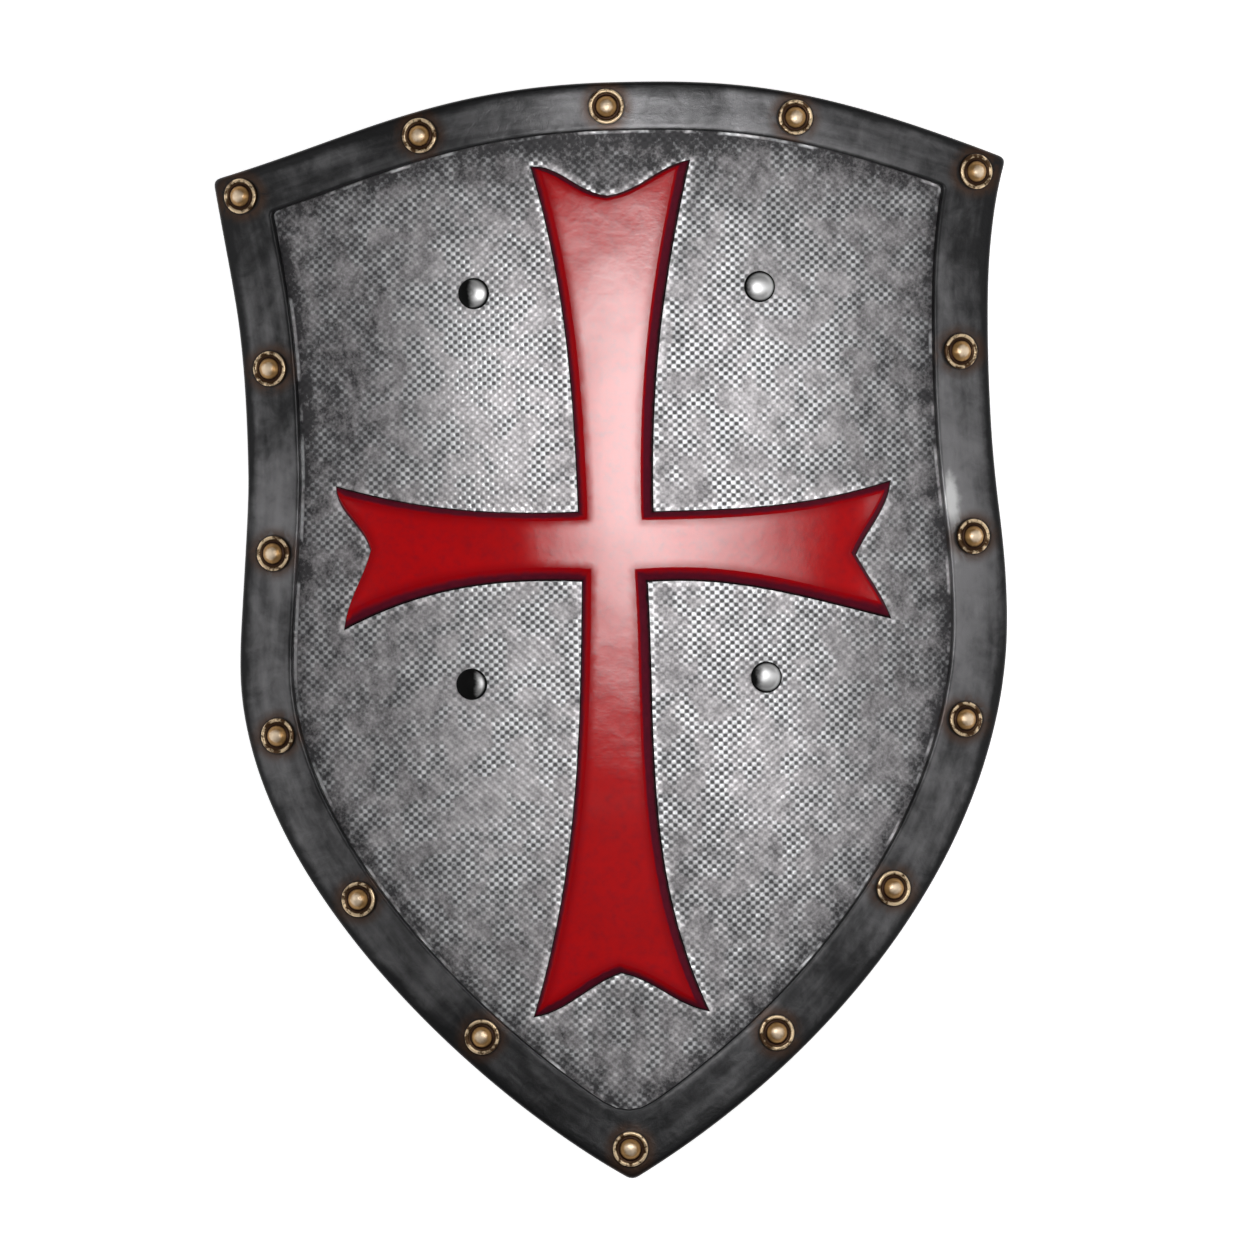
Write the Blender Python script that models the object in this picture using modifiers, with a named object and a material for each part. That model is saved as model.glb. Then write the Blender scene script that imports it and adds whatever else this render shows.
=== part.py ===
"""A heater shield in layered painted foam, lying face up with its two straps underneath.

Outlines are drawn in the plan as seen from the front: x to the right, y up from the lower tip.
The layers are then bent about the shield's long axis, in flat strips, to bulge toward the front.
"""
import math

import bmesh
import bpy
from mathutils import Matrix
from mathutils import Vector

MM = 0.001

# Whole shield
SHIELD_WIDTH = 432.6 * MM
SHIELD_HEIGHT = 599.8 * MM
FRONT_RADIUS = 480 * MM
STRIP_WIDTH = 14.4 * MM
STRIP_SNAP = 0.2 * MM
OUTLINE_STEP = 15 * MM
OUTLINE_CORNER_CUT = 4 * MM

# Layers
BOARD_THICKNESS = 12 * MM
RIM_THICKNESS = 4 * MM
CROSS_THICKNESS = 6 * MM
GLUE_GAP = 0.3 * MM

# Rim
RIM_TOP_WIDTH = 26.5 * MM
RIM_RIGHT_WIDTH = 30 * MM
RIM_LEFT_WIDTH = 28.5 * MM
RIM_EDGE_RADIUS = 2 * MM
RIM_INNER_CORNER_CUT = 3 * MM
RIM_INNER_TIP_CUT = 16 * MM

# Cross, which stands inside the rim
CROSS_TOP_CLEARANCE = 16.8 * MM
CROSS_LOW_CLEARANCE = 61.5 * MM
CROSS_LEFT_CLEARANCE = 25.7 * MM
CROSS_RIGHT_CLEARANCE = 31.3 * MM
CROSS_SIDE_SLOPE = 5.2 * MM
CROSS_END_SLOPE = 3.2 * MM
CROSS_TOP_LEAN = (-0.8 * MM, 1.3 * MM)
CROSS_STEP = 20 * MM

# Rim studs, a dome inside a raised ring
STUD_SEGMENTS = 16
TOP_STUD_SPACES = 4
SIDE_STUD_SPACES = 6
RIGHT_FIRST_SPACE = 99 * MM
LEFT_FIRST_SPACE = 96 * MM
SIDE_STUD_DRIFT = 2.4 * MM
STUD_RADIUS = 9.7 * MM
STUD_RING_HEIGHT = 1.8 * MM
STUD_RING_WIDTH = 2.2 * MM
STUD_GROOVE_HEIGHT = 0.9 * MM
STUD_DOME_RADIUS = 5.8 * MM
STUD_DOME_HEIGHT = 4.9 * MM

# Strap rivets, which stand around the crossing of the arms
RIVET_SEGMENTS = 16
RIVET_HEAD_RADIUS = 8.6 * MM
RIVET_HEAD_HEIGHT = 4.8 * MM
RIVET_EDGE_HEIGHT = 0.7 * MM
RIVET_SHANK_RADIUS = 2.5 * MM
RIVET_HOLE_CLEARANCE = 0.3 * MM
RIVET_WASHER_RADIUS = 7 * MM
RIVET_WASHER_HEIGHT = 1.8 * MM
RIVETS_ABOVE_ARM = 120.5 * MM
RIVETS_BELOW_ARM = 54.5 * MM
RIVETS_LEFT_OF_ARM = 57 * MM
RIVETS_RIGHT_OF_ARM = 60 * MM
LEFT_STRAP_LEAN = math.radians(1.7)
RIGHT_STRAP_LEAN = math.radians(0.4)

# Straps
STRAP_THICKNESS = 3 * MM
FOREARM_STRAP_WIDTH = 30 * MM
HAND_STRAP_WIDTH = 25 * MM
FOREARM_STRAP_ROOM = 36 * MM
HAND_STRAP_ROOM = 33 * MM
STRAP_SEAT_GAP = 0.6 * MM
STRAP_END_LENGTH = 14 * MM
STRAP_LAP_LENGTH = 14 * MM
STRAP_BEND_RADIUS = 12 * MM
STRAP_BEND_ANGLE = math.radians(65)
STRAP_BEND_STEPS = 4
STRAP_END_STEPS = 4

# The hand cut outline, as shares of the shield's width and height, clockwise from the upper left
UPPER_LEFT = (-0.4970, 0.9216)
CROWN = (0.0116, 1.0)
UPPER_RIGHT = (0.5030, 0.9240)
RIGHT_WAIST = (0.4748, 0.7431)
RIGHT_BULGE = (0.4908, 0.5110)
TIP = (0.0009, 0.0)
LEFT_BULGE = (-0.4778, 0.4693)
LEFT_WAIST = (-0.4616, 0.6530)

# The cross's foot, as shares of its own width and height from its lower left
CROSS_PULL = 0.36
INNER_UPPER_LEFT = (0.4349, 0.5912)
INNER_UPPER_RIGHT = (0.5710, 0.5895)
INNER_LOWER_RIGHT = (0.5578, 0.5065)
INNER_LOWER_LEFT = (0.4389, 0.5087)
TOP_LEFT_TIP = (0.3641, 0.9964)
TOP_NOTCH = (0.5025, 0.9603)
TOP_RIGHT_TIP = (0.6524, 1.0)
RIGHT_UPPER_TIP = (1.0, 0.6195)
RIGHT_NOTCH = (0.9341, 0.5327)
RIGHT_LOWER_TIP = (0.9951, 0.4566)
LOW_RIGHT_TIP = (0.6507, 0.0021)
LOW_NOTCH = (0.4926, 0.0493)
LOW_LEFT_TIP = (0.3328, 0.0)
LEFT_LOWER_TIP = (0.0082, 0.4587)
LEFT_NOTCH = (0.0593, 0.5509)
LEFT_UPPER_TIP = (0.0, 0.6281)


def clear_scene():
    for item in list(bpy.data.objects):
        bpy.data.objects.remove(item)


def heading(degrees):
    return Vector((math.cos(math.radians(degrees)), math.sin(math.radians(degrees))))


def curve(start, start_heading, start_pull, end, end_heading, end_pull, step):
    """Points of one smooth curve in the plan, from start to end."""
    chord = (end - start).length
    start_handle = start + heading(start_heading) * chord * start_pull
    end_handle = end - heading(end_heading) * chord * end_pull
    count = max(3, round(chord / step))
    points = []
    for index in range(count + 1):
        t = index / count
        s = 1 - t
        points.append(start * s ** 3 + start_handle * 3 * t * s * s
                      + end_handle * 3 * t * t * s + end * t ** 3)
    return points


def outline_point(share):
    return Vector((share[0] * SHIELD_WIDTH, share[1] * SHIELD_HEIGHT))


def shield_sides():
    """Top, right and left side of the outline, clockwise as seen from the front."""
    step = OUTLINE_STEP
    upper_left = outline_point(UPPER_LEFT)
    crown = outline_point(CROWN)
    upper_right = outline_point(UPPER_RIGHT)
    right_waist = outline_point(RIGHT_WAIST)
    right_bulge = outline_point(RIGHT_BULGE)
    tip = outline_point(TIP)
    left_bulge = outline_point(LEFT_BULGE)
    left_waist = outline_point(LEFT_WAIST)
    top = curve(upper_left, 14.5, 0.35, crown, 0, 0.44, step)
    top += curve(crown, 0, 0.31, upper_right, -22, 0.52, step)[1:]
    right = curve(upper_right, -107.5, 0.32, right_waist, -90, 0.35, step)
    right += curve(right_waist, -90, 0.57, right_bulge, -90, 0.40, step)[1:]
    right += curve(right_bulge, -90, 0.31, tip, -150, 0.39, step)[1:]
    left = curve(tip, 150, 0.26, left_bulge, 90, 0.33, step)
    left += curve(left_bulge, 90, 0.24, left_waist, 90, 0.24, step)[1:]
    left += curve(left_waist, 90, 0.51, upper_left, 98.5, 0.45, step)[1:]
    return [top, right, left]


def cross_point(share):
    """A point of the cross's foot, whose box keeps its clearances inside the rim."""
    left = outline_point(LEFT_BULGE).x + RIM_LEFT_WIDTH + CROSS_LEFT_CLEARANCE
    right = outline_point(RIGHT_BULGE).x - RIM_RIGHT_WIDTH - CROSS_RIGHT_CLEARANCE
    low = outline_point(TIP).y + RIM_LEFT_WIDTH + CROSS_LOW_CLEARANCE
    high = outline_point(CROWN).y - RIM_TOP_WIDTH - CROSS_TOP_CLEARANCE
    return Vector((left + (right - left) * share[0], low + (high - low) * share[1]))


def cross_sides():
    """The sixteen edges of the cross's foot, clockwise from the upper arm's left edge.

    Each arm has two long edges and an end in two halves that meet in a notch.
    """
    edges = (
        (INNER_UPPER_LEFT, 91, TOP_LEFT_TIP, 105),
        (TOP_LEFT_TIP, 4, TOP_NOTCH, -5),
        (TOP_NOTCH, 6, TOP_RIGHT_TIP, 8),
        (TOP_RIGHT_TIP, -104, INNER_UPPER_RIGHT, -90),
        (INNER_UPPER_RIGHT, 0, RIGHT_UPPER_TIP, 17),
        (RIGHT_UPPER_TIP, -96, RIGHT_NOTCH, -115),
        (RIGHT_NOTCH, -63, RIGHT_LOWER_TIP, -72),
        (RIGHT_LOWER_TIP, 165, INNER_LOWER_RIGHT, 183),
        (INNER_LOWER_RIGHT, -88, LOW_RIGHT_TIP, -66),
        (LOW_RIGHT_TIP, 170, LOW_NOTCH, 168),
        (LOW_NOTCH, -162, LOW_LEFT_TIP, -173),
        (LOW_LEFT_TIP, 72, INNER_LOWER_LEFT, 88),
        (INNER_LOWER_LEFT, 176, LEFT_LOWER_TIP, 207),
        (LEFT_LOWER_TIP, 84, LEFT_NOTCH, 74),
        (LEFT_NOTCH, 102, LEFT_UPPER_TIP, 86),
        (LEFT_UPPER_TIP, -17, INNER_UPPER_LEFT, 1),
    )
    sides = []
    for start, start_heading, end, end_heading in edges:
        sides.append(curve(cross_point(start), start_heading, CROSS_PULL,
                           cross_point(end), end_heading, CROSS_PULL, CROSS_STEP))
    return sides


def shifted(points, distance):
    """An open run of points moved to its right hand side."""
    moved = []
    for index, point in enumerate(points):
        before = points[max(index - 1, 0)]
        after = points[min(index + 1, len(points) - 1)]
        along = (after - before).normalized()
        moved.append(point + Vector((along.y, -along.x)) * distance)
    return moved


def crossing(a, b, c, d):
    """Where segment a to b meets segment c to d, as a share of the first, or None."""
    first = b - a
    second = d - c
    area = first.cross(second)
    if abs(area) < 1e-14:
        return None
    share = (c - a).cross(second) / area
    other = (c - a).cross(first) / area
    if -1e-6 <= share <= 1 + 1e-6 and -1e-6 <= other <= 1 + 1e-6:
        return share
    return None


def joined(first, second):
    """Two neighbouring runs, cut back or drawn out so that one ends where the other starts."""
    reach = SHIELD_WIDTH / 10
    drawn_out = first + [first[-1] + (first[-1] - first[-2]).normalized() * reach]
    drawn_back = [second[0] + (second[0] - second[1]).normalized() * reach] + second
    for i in range(len(drawn_out) - 1, 0, -1):
        for j in range(len(drawn_back) - 1):
            share = crossing(drawn_out[i - 1], drawn_out[i], drawn_back[j], drawn_back[j + 1])
            if share is not None:
                point = drawn_out[i - 1].lerp(drawn_out[i], share)
                return drawn_out[:i] + [point], [point] + drawn_back[j + 1:]
    raise ValueError("two neighbouring sides don't meet")


def moved_in(sides, distances):
    """Each side of a closed outline moved inward by its own distance and trimmed at its ends."""
    runs = [shifted(side, distance) for side, distance in zip(sides, distances)]
    for index in range(len(runs)):
        following = (index + 1) % len(runs)
        runs[index], runs[following] = joined(runs[index], runs[following])
    return runs


def run_length(points):
    return sum((b - a).length for a, b in zip(points, points[1:]))


def along_run(points, distance):
    """The point at a distance along a run."""
    for a, b in zip(points, points[1:]):
        length = (b - a).length
        if distance <= length or b is points[-1]:
            return a.lerp(b, distance / length)
        distance -= length


def evened(points, count):
    """The same run with count points at even distances."""
    whole = run_length(points)
    return [along_run(points, whole * k / (count - 1)) for k in range(count)]


def softened(runs, cuts):
    """One closed ring of points, with the corner after each run rounded over its cut."""
    ring = []
    for index, run in enumerate(runs):
        before = cuts[index - 1]
        after = cuts[index]
        span = run_length(run) - before - after
        count = len(run)
        ring += [along_run(run, before + span * k / (count - 1)) for k in range(count)]
        leave = ring[-1]
        corner = run[-1]
        enter = along_run(runs[(index + 1) % len(runs)], after)
        for share in (0.25, 0.5, 0.75):
            ring.append(leave.lerp(corner, share).lerp(corner.lerp(enter, share), share))
    return ring


def bent(x, y, height):
    """The place of a plan point at a height over the front surface, on the board's flat strips."""
    strip = math.floor(x / STRIP_WIDTH)
    radius = FRONT_RADIUS + height
    ends = []
    for edge in (strip, strip + 1):
        angle = math.asin(edge * STRIP_WIDTH / FRONT_RADIUS)
        ends.append(Vector((radius * math.sin(angle), y, radius * math.cos(angle))))
    return ends[0].lerp(ends[1], x / STRIP_WIDTH - strip)


def seat(x, y):
    """The frame that stands on the front surface at a plan point, Z outward and Y up the shield."""
    angle = math.asin(x / FRONT_RADIUS)
    place = Vector((FRONT_RADIUS * math.sin(angle), y, FRONT_RADIUS * math.cos(angle)))
    return Matrix.Translation(place) @ Matrix.Rotation(angle, 4, "Y")


def slab(name, rings, bottom, top):
    """A flat outline, the later rings being holes, with thickness from bottom to top."""
    outline = bpy.data.curves.new(name + "_outline", "CURVE")
    outline.dimensions = "2D"
    outline.fill_mode = "BOTH"
    outline.extrude = (top - bottom) / 2
    for ring in rings:
        spline = outline.splines.new("POLY")
        spline.points.add(len(ring) - 1)
        for knot, point in zip(spline.points, ring):
            knot.co = (point.x, point.y, 0, 1)
        spline.use_cyclic_u = True
    drawing = bpy.data.objects.new(name + "_outline", outline)
    bpy.context.scene.collection.objects.link(drawing)
    graph = bpy.context.evaluated_depsgraph_get()
    flat = bpy.data.meshes.new_from_object(drawing.evaluated_get(graph))
    bpy.data.objects.remove(drawing)
    mesh = bmesh.new()
    mesh.from_mesh(flat)
    bpy.data.meshes.remove(flat)
    bmesh.ops.remove_doubles(mesh, verts=mesh.verts[:], dist=1e-5)
    bmesh.ops.dissolve_limit(mesh, angle_limit=math.radians(1), edges=mesh.edges[:])
    bmesh.ops.translate(mesh, verts=mesh.verts[:], vec=(0, 0, (top + bottom) / 2))
    return mesh


def near_key(point):
    return round(point.x / MM, 1), round(point.y / MM, 1)


def round_outer_edge(mesh, ring, height, radius):
    """Round the edge that runs along a ring at the given height."""
    keys = {near_key(point) for point in ring}
    edges = []
    for edge in mesh.edges:
        ends = edge.verts
        if all(abs(v.co.z - height) < 1e-6 and near_key(v.co) in keys for v in ends):
            if abs(edge.calc_face_angle(0)) > 1:
                edges.append(edge)
    bmesh.ops.bevel(mesh, geom=edges, offset=radius, offset_type="OFFSET", segments=2,
                    profile=0.5, affect="EDGES")


def slope_sides(mesh, foot, crest, height):
    """Draw the upper outline in from the foot's points to the crest's points."""
    crest_of = {near_key(low): high for low, high in zip(foot, crest)}
    for vertex in mesh.verts:
        if abs(vertex.co.z - height) < 1e-6:
            vertex.co.xy = crest_of[near_key(vertex.co)]
    mesh.normal_update()
    sides = [face for face in mesh.faces if abs(face.normal.z) < 0.99]
    bmesh.ops.triangulate(mesh, faces=sides)


def bend(mesh):
    """Part the flat solid into the board's strips and bend them."""
    widest = max(abs(vertex.co.x) for vertex in mesh.verts)
    strips = math.ceil(widest / STRIP_WIDTH)
    for strip in range(-strips, strips + 1):
        everything = mesh.verts[:] + mesh.edges[:] + mesh.faces[:]
        bmesh.ops.bisect_plane(mesh, geom=everything, dist=STRIP_SNAP,
                               plane_co=(strip * STRIP_WIDTH, 0, 0), plane_no=(1, 0, 0))
    bmesh.ops.triangulate(mesh, faces=mesh.faces[:])
    for vertex in mesh.verts:
        vertex.co = bent(*vertex.co)
    bmesh.ops.recalc_face_normals(mesh, faces=mesh.faces[:])


def to_data(mesh, name, material):
    data = bpy.data.meshes.new(name)
    mesh.to_mesh(data)
    mesh.free()
    if material:
        data.materials.append(material)
    return data


def place(name, data, matrix, parent, collection):
    piece = bpy.data.objects.new(name, data)
    collection.objects.link(piece)
    piece.parent = parent
    piece.matrix_basis = matrix
    return piece


def profile_data(name, profile, material):
    """Half of a turned shape's outline, from its top on the axis down its outside to its foot."""
    mesh = bmesh.new()
    points = [mesh.verts.new((radius, 0, height)) for radius, height in profile]
    for upper, lower in zip(points, points[1:]):
        mesh.edges.new((upper, lower))
    return to_data(mesh, name, material)


def turn(piece, segments):
    screw = piece.modifiers.new("turned", "SCREW")
    screw.axis = "Z"
    screw.angle = 2 * math.pi
    screw.steps = segments
    screw.render_steps = segments
    screw.use_merge_vertices = True
    screw.merge_threshold = 1e-5
    screw.use_smooth_shade = True


def stud_profile():
    ring_inside = STUD_RADIUS - STUD_RING_WIDTH
    return [
        (0, STUD_DOME_HEIGHT),
        (STUD_DOME_RADIUS * 0.5, STUD_DOME_HEIGHT * 0.91),
        (STUD_DOME_RADIUS * 0.86, STUD_DOME_HEIGHT * 0.62),
        (STUD_DOME_RADIUS, STUD_GROOVE_HEIGHT),
        (ring_inside, STUD_GROOVE_HEIGHT),
        (ring_inside + STUD_RING_WIDTH * 0.36, STUD_RING_HEIGHT),
        (STUD_RADIUS - STUD_RING_WIDTH * 0.36, STUD_RING_HEIGHT),
        (STUD_RADIUS, STUD_RING_HEIGHT * 0.55),
        (STUD_RADIUS, 0),
        (0, 0),
    ]


def rivet_profile():
    """The domed head on the front, the shank through board and strap, and the washer behind."""
    head_bottom = GLUE_GAP
    washer_top = -(BOARD_THICKNESS + STRAP_SEAT_GAP + STRAP_THICKNESS + GLUE_GAP)
    washer_bottom = washer_top - RIVET_WASHER_HEIGHT
    dome = RIVET_HEAD_HEIGHT - RIVET_EDGE_HEIGHT
    profile = [(0, head_bottom + RIVET_HEAD_HEIGHT)]
    for degrees in (67.5, 45, 22.5, 0):
        angle = math.radians(degrees)
        height = head_bottom + RIVET_EDGE_HEIGHT + dome * math.sin(angle)
        profile.append((RIVET_HEAD_RADIUS * math.cos(angle), height))
    profile += [
        (RIVET_HEAD_RADIUS, head_bottom),
        (RIVET_SHANK_RADIUS, head_bottom),
        (RIVET_SHANK_RADIUS, washer_top),
        (RIVET_WASHER_RADIUS, washer_top),
        (RIVET_WASHER_RADIUS, washer_top - RIVET_WASHER_HEIGHT / 2),
        (RIVET_WASHER_RADIUS * 0.8, washer_bottom),
        (0, washer_bottom),
    ]
    return profile


def strap_half(half_length, room):
    """Centre line from the strap's middle out to its end, as (y, height, share of the width)."""
    low = -(BOARD_THICKNESS + room + STRAP_THICKNESS / 2)
    high = -(BOARD_THICKNESS + STRAP_SEAT_GAP + STRAP_THICKNESS / 2)
    rise = STRAP_BEND_RADIUS * (1 - math.cos(STRAP_BEND_ANGLE))
    reach = STRAP_BEND_RADIUS * math.sin(STRAP_BEND_ANGLE)
    ramp = (high - low - 2 * rise) / math.tan(STRAP_BEND_ANGLE)
    seat_start = half_length - STRAP_LAP_LENGTH
    flat_end = seat_start - 2 * reach - ramp
    stations = []
    for step in range(STRAP_BEND_STEPS + 1):
        angle = STRAP_BEND_ANGLE * step / STRAP_BEND_STEPS
        stations.append((flat_end + STRAP_BEND_RADIUS * math.sin(angle),
                         low + STRAP_BEND_RADIUS * (1 - math.cos(angle)), 1))
    for step in range(STRAP_BEND_STEPS, -1, -1):
        angle = STRAP_BEND_ANGLE * step / STRAP_BEND_STEPS
        stations.append((seat_start - STRAP_BEND_RADIUS * math.sin(angle),
                         high - STRAP_BEND_RADIUS * (1 - math.cos(angle)), 1))
    round_start = half_length
    for step in range(STRAP_END_STEPS + 1):
        angle = math.radians(75) * step / STRAP_END_STEPS
        share = math.sin(angle) / math.sin(math.radians(75))
        stations.append((round_start + STRAP_END_LENGTH * share, high, math.cos(angle)))
    return stations


def strap_data(name, half_length, width, room, material):
    """The strap's middle surface: a grid of one column laid along its centre line."""
    half = strap_half(half_length, room)
    stations = [(-y, height, share) for y, height, share in reversed(half)] + half
    rows = len(stations)
    mesh = bmesh.new()
    bmesh.ops.create_grid(mesh, x_segments=1, y_segments=rows - 1, size=1)
    for vertex in mesh.verts:
        y, height, share = stations[round((vertex.co.y + 1) / 2 * (rows - 1))]
        vertex.co = (math.copysign(width / 2 * share, vertex.co.x), y, height)
    return to_data(mesh, name, material)


def cut(piece, cutter):
    change = piece.modifiers.new("cut_" + cutter.name, "BOOLEAN")
    change.operation = "DIFFERENCE"
    change.solver = "EXACT"
    change.object = cutter


def paint(name, colour, metallic, roughness):
    material = bpy.data.materials.new(name)
    material.use_nodes = True
    shader = material.node_tree.nodes["Principled BSDF"]
    shader.inputs["Base Color"].default_value = (*colour, 1)
    shader.inputs["Metallic"].default_value = metallic
    shader.inputs["Roughness"].default_value = roughness
    material.diffuse_color = (*colour, 1)
    return material


def make_layers(sides, parent, shield):
    """The board, the rim and the cross; returns the board."""
    outer = softened(sides, [OUTLINE_CORNER_CUT] * 3)
    still = Matrix.Identity(4)

    mesh = slab("board", [outer], -BOARD_THICKNESS, 0)
    bend(mesh)
    field_paint = paint("field_paint", (0.40, 0.40, 0.42), 0.6, 0.45)
    board = place("board", to_data(mesh, "board", field_paint), still, parent, shield)

    widths = (RIM_TOP_WIDTH, RIM_RIGHT_WIDTH, RIM_LEFT_WIDTH)
    inner_cuts = (RIM_INNER_CORNER_CUT, RIM_INNER_TIP_CUT, RIM_INNER_CORNER_CUT)
    inner = softened(moved_in(sides, widths), inner_cuts)
    rim_top = GLUE_GAP + RIM_THICKNESS
    mesh = slab("rim", [outer, inner], GLUE_GAP, rim_top)
    round_outer_edge(mesh, outer, rim_top, RIM_EDGE_RADIUS)
    bend(mesh)
    rim_paint = paint("rim_paint", (0.075, 0.075, 0.08), 0.6, 0.42)
    place("rim", to_data(mesh, "rim", rim_paint), still, parent, shield)

    foot_sides = cross_sides()
    slopes = ([CROSS_SIDE_SLOPE] + [CROSS_END_SLOPE] * 2 + [CROSS_SIDE_SLOPE]) * 4
    foot = []
    crest = []
    for low, high in zip(foot_sides, moved_in(foot_sides, slopes)):
        foot += evened(low, len(low))[:-1]
        crest += evened(high, len(low))[:-1]
    crest = [point + Vector(CROSS_TOP_LEAN) for point in crest]
    cross_top = GLUE_GAP + CROSS_THICKNESS
    mesh = slab("cross", [foot], GLUE_GAP, cross_top)
    slope_sides(mesh, foot, crest, cross_top)
    bend(mesh)
    cross_paint = paint("cross_paint", (0.42, 0.008, 0.012), 0.0, 0.35)
    place("cross", to_data(mesh, "cross", cross_paint), still, parent, shield)
    return board


def side_stud_places(corner_to_tip, first_space, inward):
    """Studs down one side: a first space, then even ones, drifting inward around the middle."""
    whole = run_length(corner_to_tip)
    rest = (whole - first_space) / (SIDE_STUD_SPACES - 1)
    places = []
    for k in range(SIDE_STUD_SPACES - 1):
        distance = first_space + rest * k
        here = along_run(corner_to_tip, distance)
        along = (along_run(corner_to_tip, distance + MM) - here).normalized()
        drift = SIDE_STUD_DRIFT * math.sin(math.pi * distance / whole)
        places.append(here + Vector((along.y, -along.x)) * drift * inward)
    return places


def stud_places(sides):
    """Points along the rim's middle line, from the upper left corner clockwise."""
    widths = (RIM_TOP_WIDTH, RIM_RIGHT_WIDTH, RIM_LEFT_WIDTH)
    top, right, left = moved_in(sides, [width / 2 for width in widths])
    places = []
    for k in range(TOP_STUD_SPACES + 1):
        places.append(along_run(top, run_length(top) * k / TOP_STUD_SPACES))
    places += side_stud_places(right, RIGHT_FIRST_SPACE, 1)
    places.append(right[-1])
    places += reversed(side_stud_places(list(reversed(left)), LEFT_FIRST_SPACE, -1))
    return places


def make_studs(sides, parent, shield):
    stud_paint = paint("stud_paint", (0.42, 0.26, 0.11), 0.8, 0.40)
    profile = profile_data("rim_stud", stud_profile(), stud_paint)
    lift = Matrix.Translation((0, 0, GLUE_GAP + RIM_THICKNESS + GLUE_GAP))
    for number, point in enumerate(stud_places(sides), 1):
        name = "rim_stud_%02d" % number
        stud = place(name, profile, seat(point.x, point.y) @ lift, parent, shield)
        turn(stud, STUD_SEGMENTS)


def make_straps(board, parent, shield, cutters):
    """The two straps, their four rivets, and the holes through board and straps.

    Worn on the left arm, the forearm strap is on the right as seen from the front.
    """
    rivet_steel = paint("rivet_steel", (0.62, 0.62, 0.62), 1.0, 0.18)
    strap_leather = paint("strap_leather", (0.05, 0.028, 0.016), 0.0, 0.6)
    rivet = profile_data("strap_rivet", rivet_profile(), rivet_steel)

    mesh = bmesh.new()
    hole_radius = RIVET_SHANK_RADIUS + RIVET_HOLE_CLEARANCE
    hole_depth = 4 * (BOARD_THICKNESS + STRAP_THICKNESS)
    bmesh.ops.create_cone(mesh, cap_ends=True, segments=RIVET_SEGMENTS, radius1=hole_radius,
                          radius2=hole_radius, depth=hole_depth)
    hole = to_data(mesh, "rivet_hole", None)

    arm_left = cross_point(INNER_UPPER_LEFT).x - RIVETS_LEFT_OF_ARM
    arm_right = cross_point(INNER_UPPER_RIGHT).x + RIVETS_RIGHT_OF_ARM
    upper = cross_point(INNER_UPPER_LEFT).y + RIVETS_ABOVE_ARM
    lower = cross_point(INNER_LOWER_LEFT).y - RIVETS_BELOW_ARM
    half_length = (upper - lower) / 2
    straps = (
        ("hand_strap", arm_left, LEFT_STRAP_LEAN, HAND_STRAP_WIDTH, HAND_STRAP_ROOM),
        ("forearm_strap", arm_right, RIGHT_STRAP_LEAN, FOREARM_STRAP_WIDTH, FOREARM_STRAP_ROOM),
    )
    for name, x, lean, width, room in straps:
        frame = seat(x, (upper + lower) / 2) @ Matrix.Rotation(-lean, 4, "Z")
        data = strap_data(name, half_length, width, room, strap_leather)
        strap = place(name, data, frame, parent, shield)
        thick = strap.modifiers.new("leather", "SOLIDIFY")
        thick.thickness = STRAP_THICKNESS
        thick.offset = 0
        thick.use_even_offset = True
        side = "left" if x < 0 else "right"
        for level, offset in (("upper", half_length), ("lower", -half_length)):
            spot = frame @ Matrix.Translation((0, offset, 0))
            fastener = place("strap_rivet_%s_%s" % (level, side), rivet, spot, parent, shield)
            turn(fastener, RIVET_SEGMENTS)
            cutter = place("hole_%s_%s" % (level, side), hole, spot, parent, cutters)
            cutter.hide_render = True
            cutter.display_type = "WIRE"
            cut(board, cutter)
            cut(strap, cutter)


def stand_on_origin(parent, shield):
    """Move the whole so that its middle is over the origin and its lowest point at zero."""
    bpy.context.view_layer.update()
    graph = bpy.context.evaluated_depsgraph_get()
    corners = []
    for piece in shield.objects:
        shape = piece.evaluated_get(graph)
        corners += [shape.matrix_world @ vertex.co for vertex in shape.data.vertices]
    low = [min(corner[k] for corner in corners) for k in range(3)]
    high = [max(corner[k] for corner in corners) for k in range(3)]
    parent.location = (-(low[0] + high[0]) / 2, -(low[1] + high[1]) / 2, -low[2])


def build():
    clear_scene()
    shield = bpy.data.collections.new("heater_shield")
    cutters = bpy.data.collections.new("cutters")
    for collection in (shield, cutters):
        bpy.context.scene.collection.children.link(collection)
    middle = bpy.data.objects.new("shield_middle", None)
    bpy.context.scene.collection.objects.link(middle)

    sides = shield_sides()
    board = make_layers(sides, middle, shield)
    make_studs(sides, middle, shield)
    make_straps(board, middle, shield, cutters)
    stand_on_origin(middle, shield)


build()
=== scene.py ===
"""The looks of a heater shield in layered painted foam, lying face up on a pale floor.

The plan's outlines, studs and rivets are worked out from the same sizes as the solids, with finer
steps. Plan points have x to the right and y up from the shield's lower tip, and heights are
measured outward from the board's front. Then everything is bent about the long axis.
"""

import math

import bmesh
import bpy
import numpy as np
from mathutils import Matrix, Vector, noise
from mathutils.bvhtree import BVHTree
from mathutils.kdtree import KDTree


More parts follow.
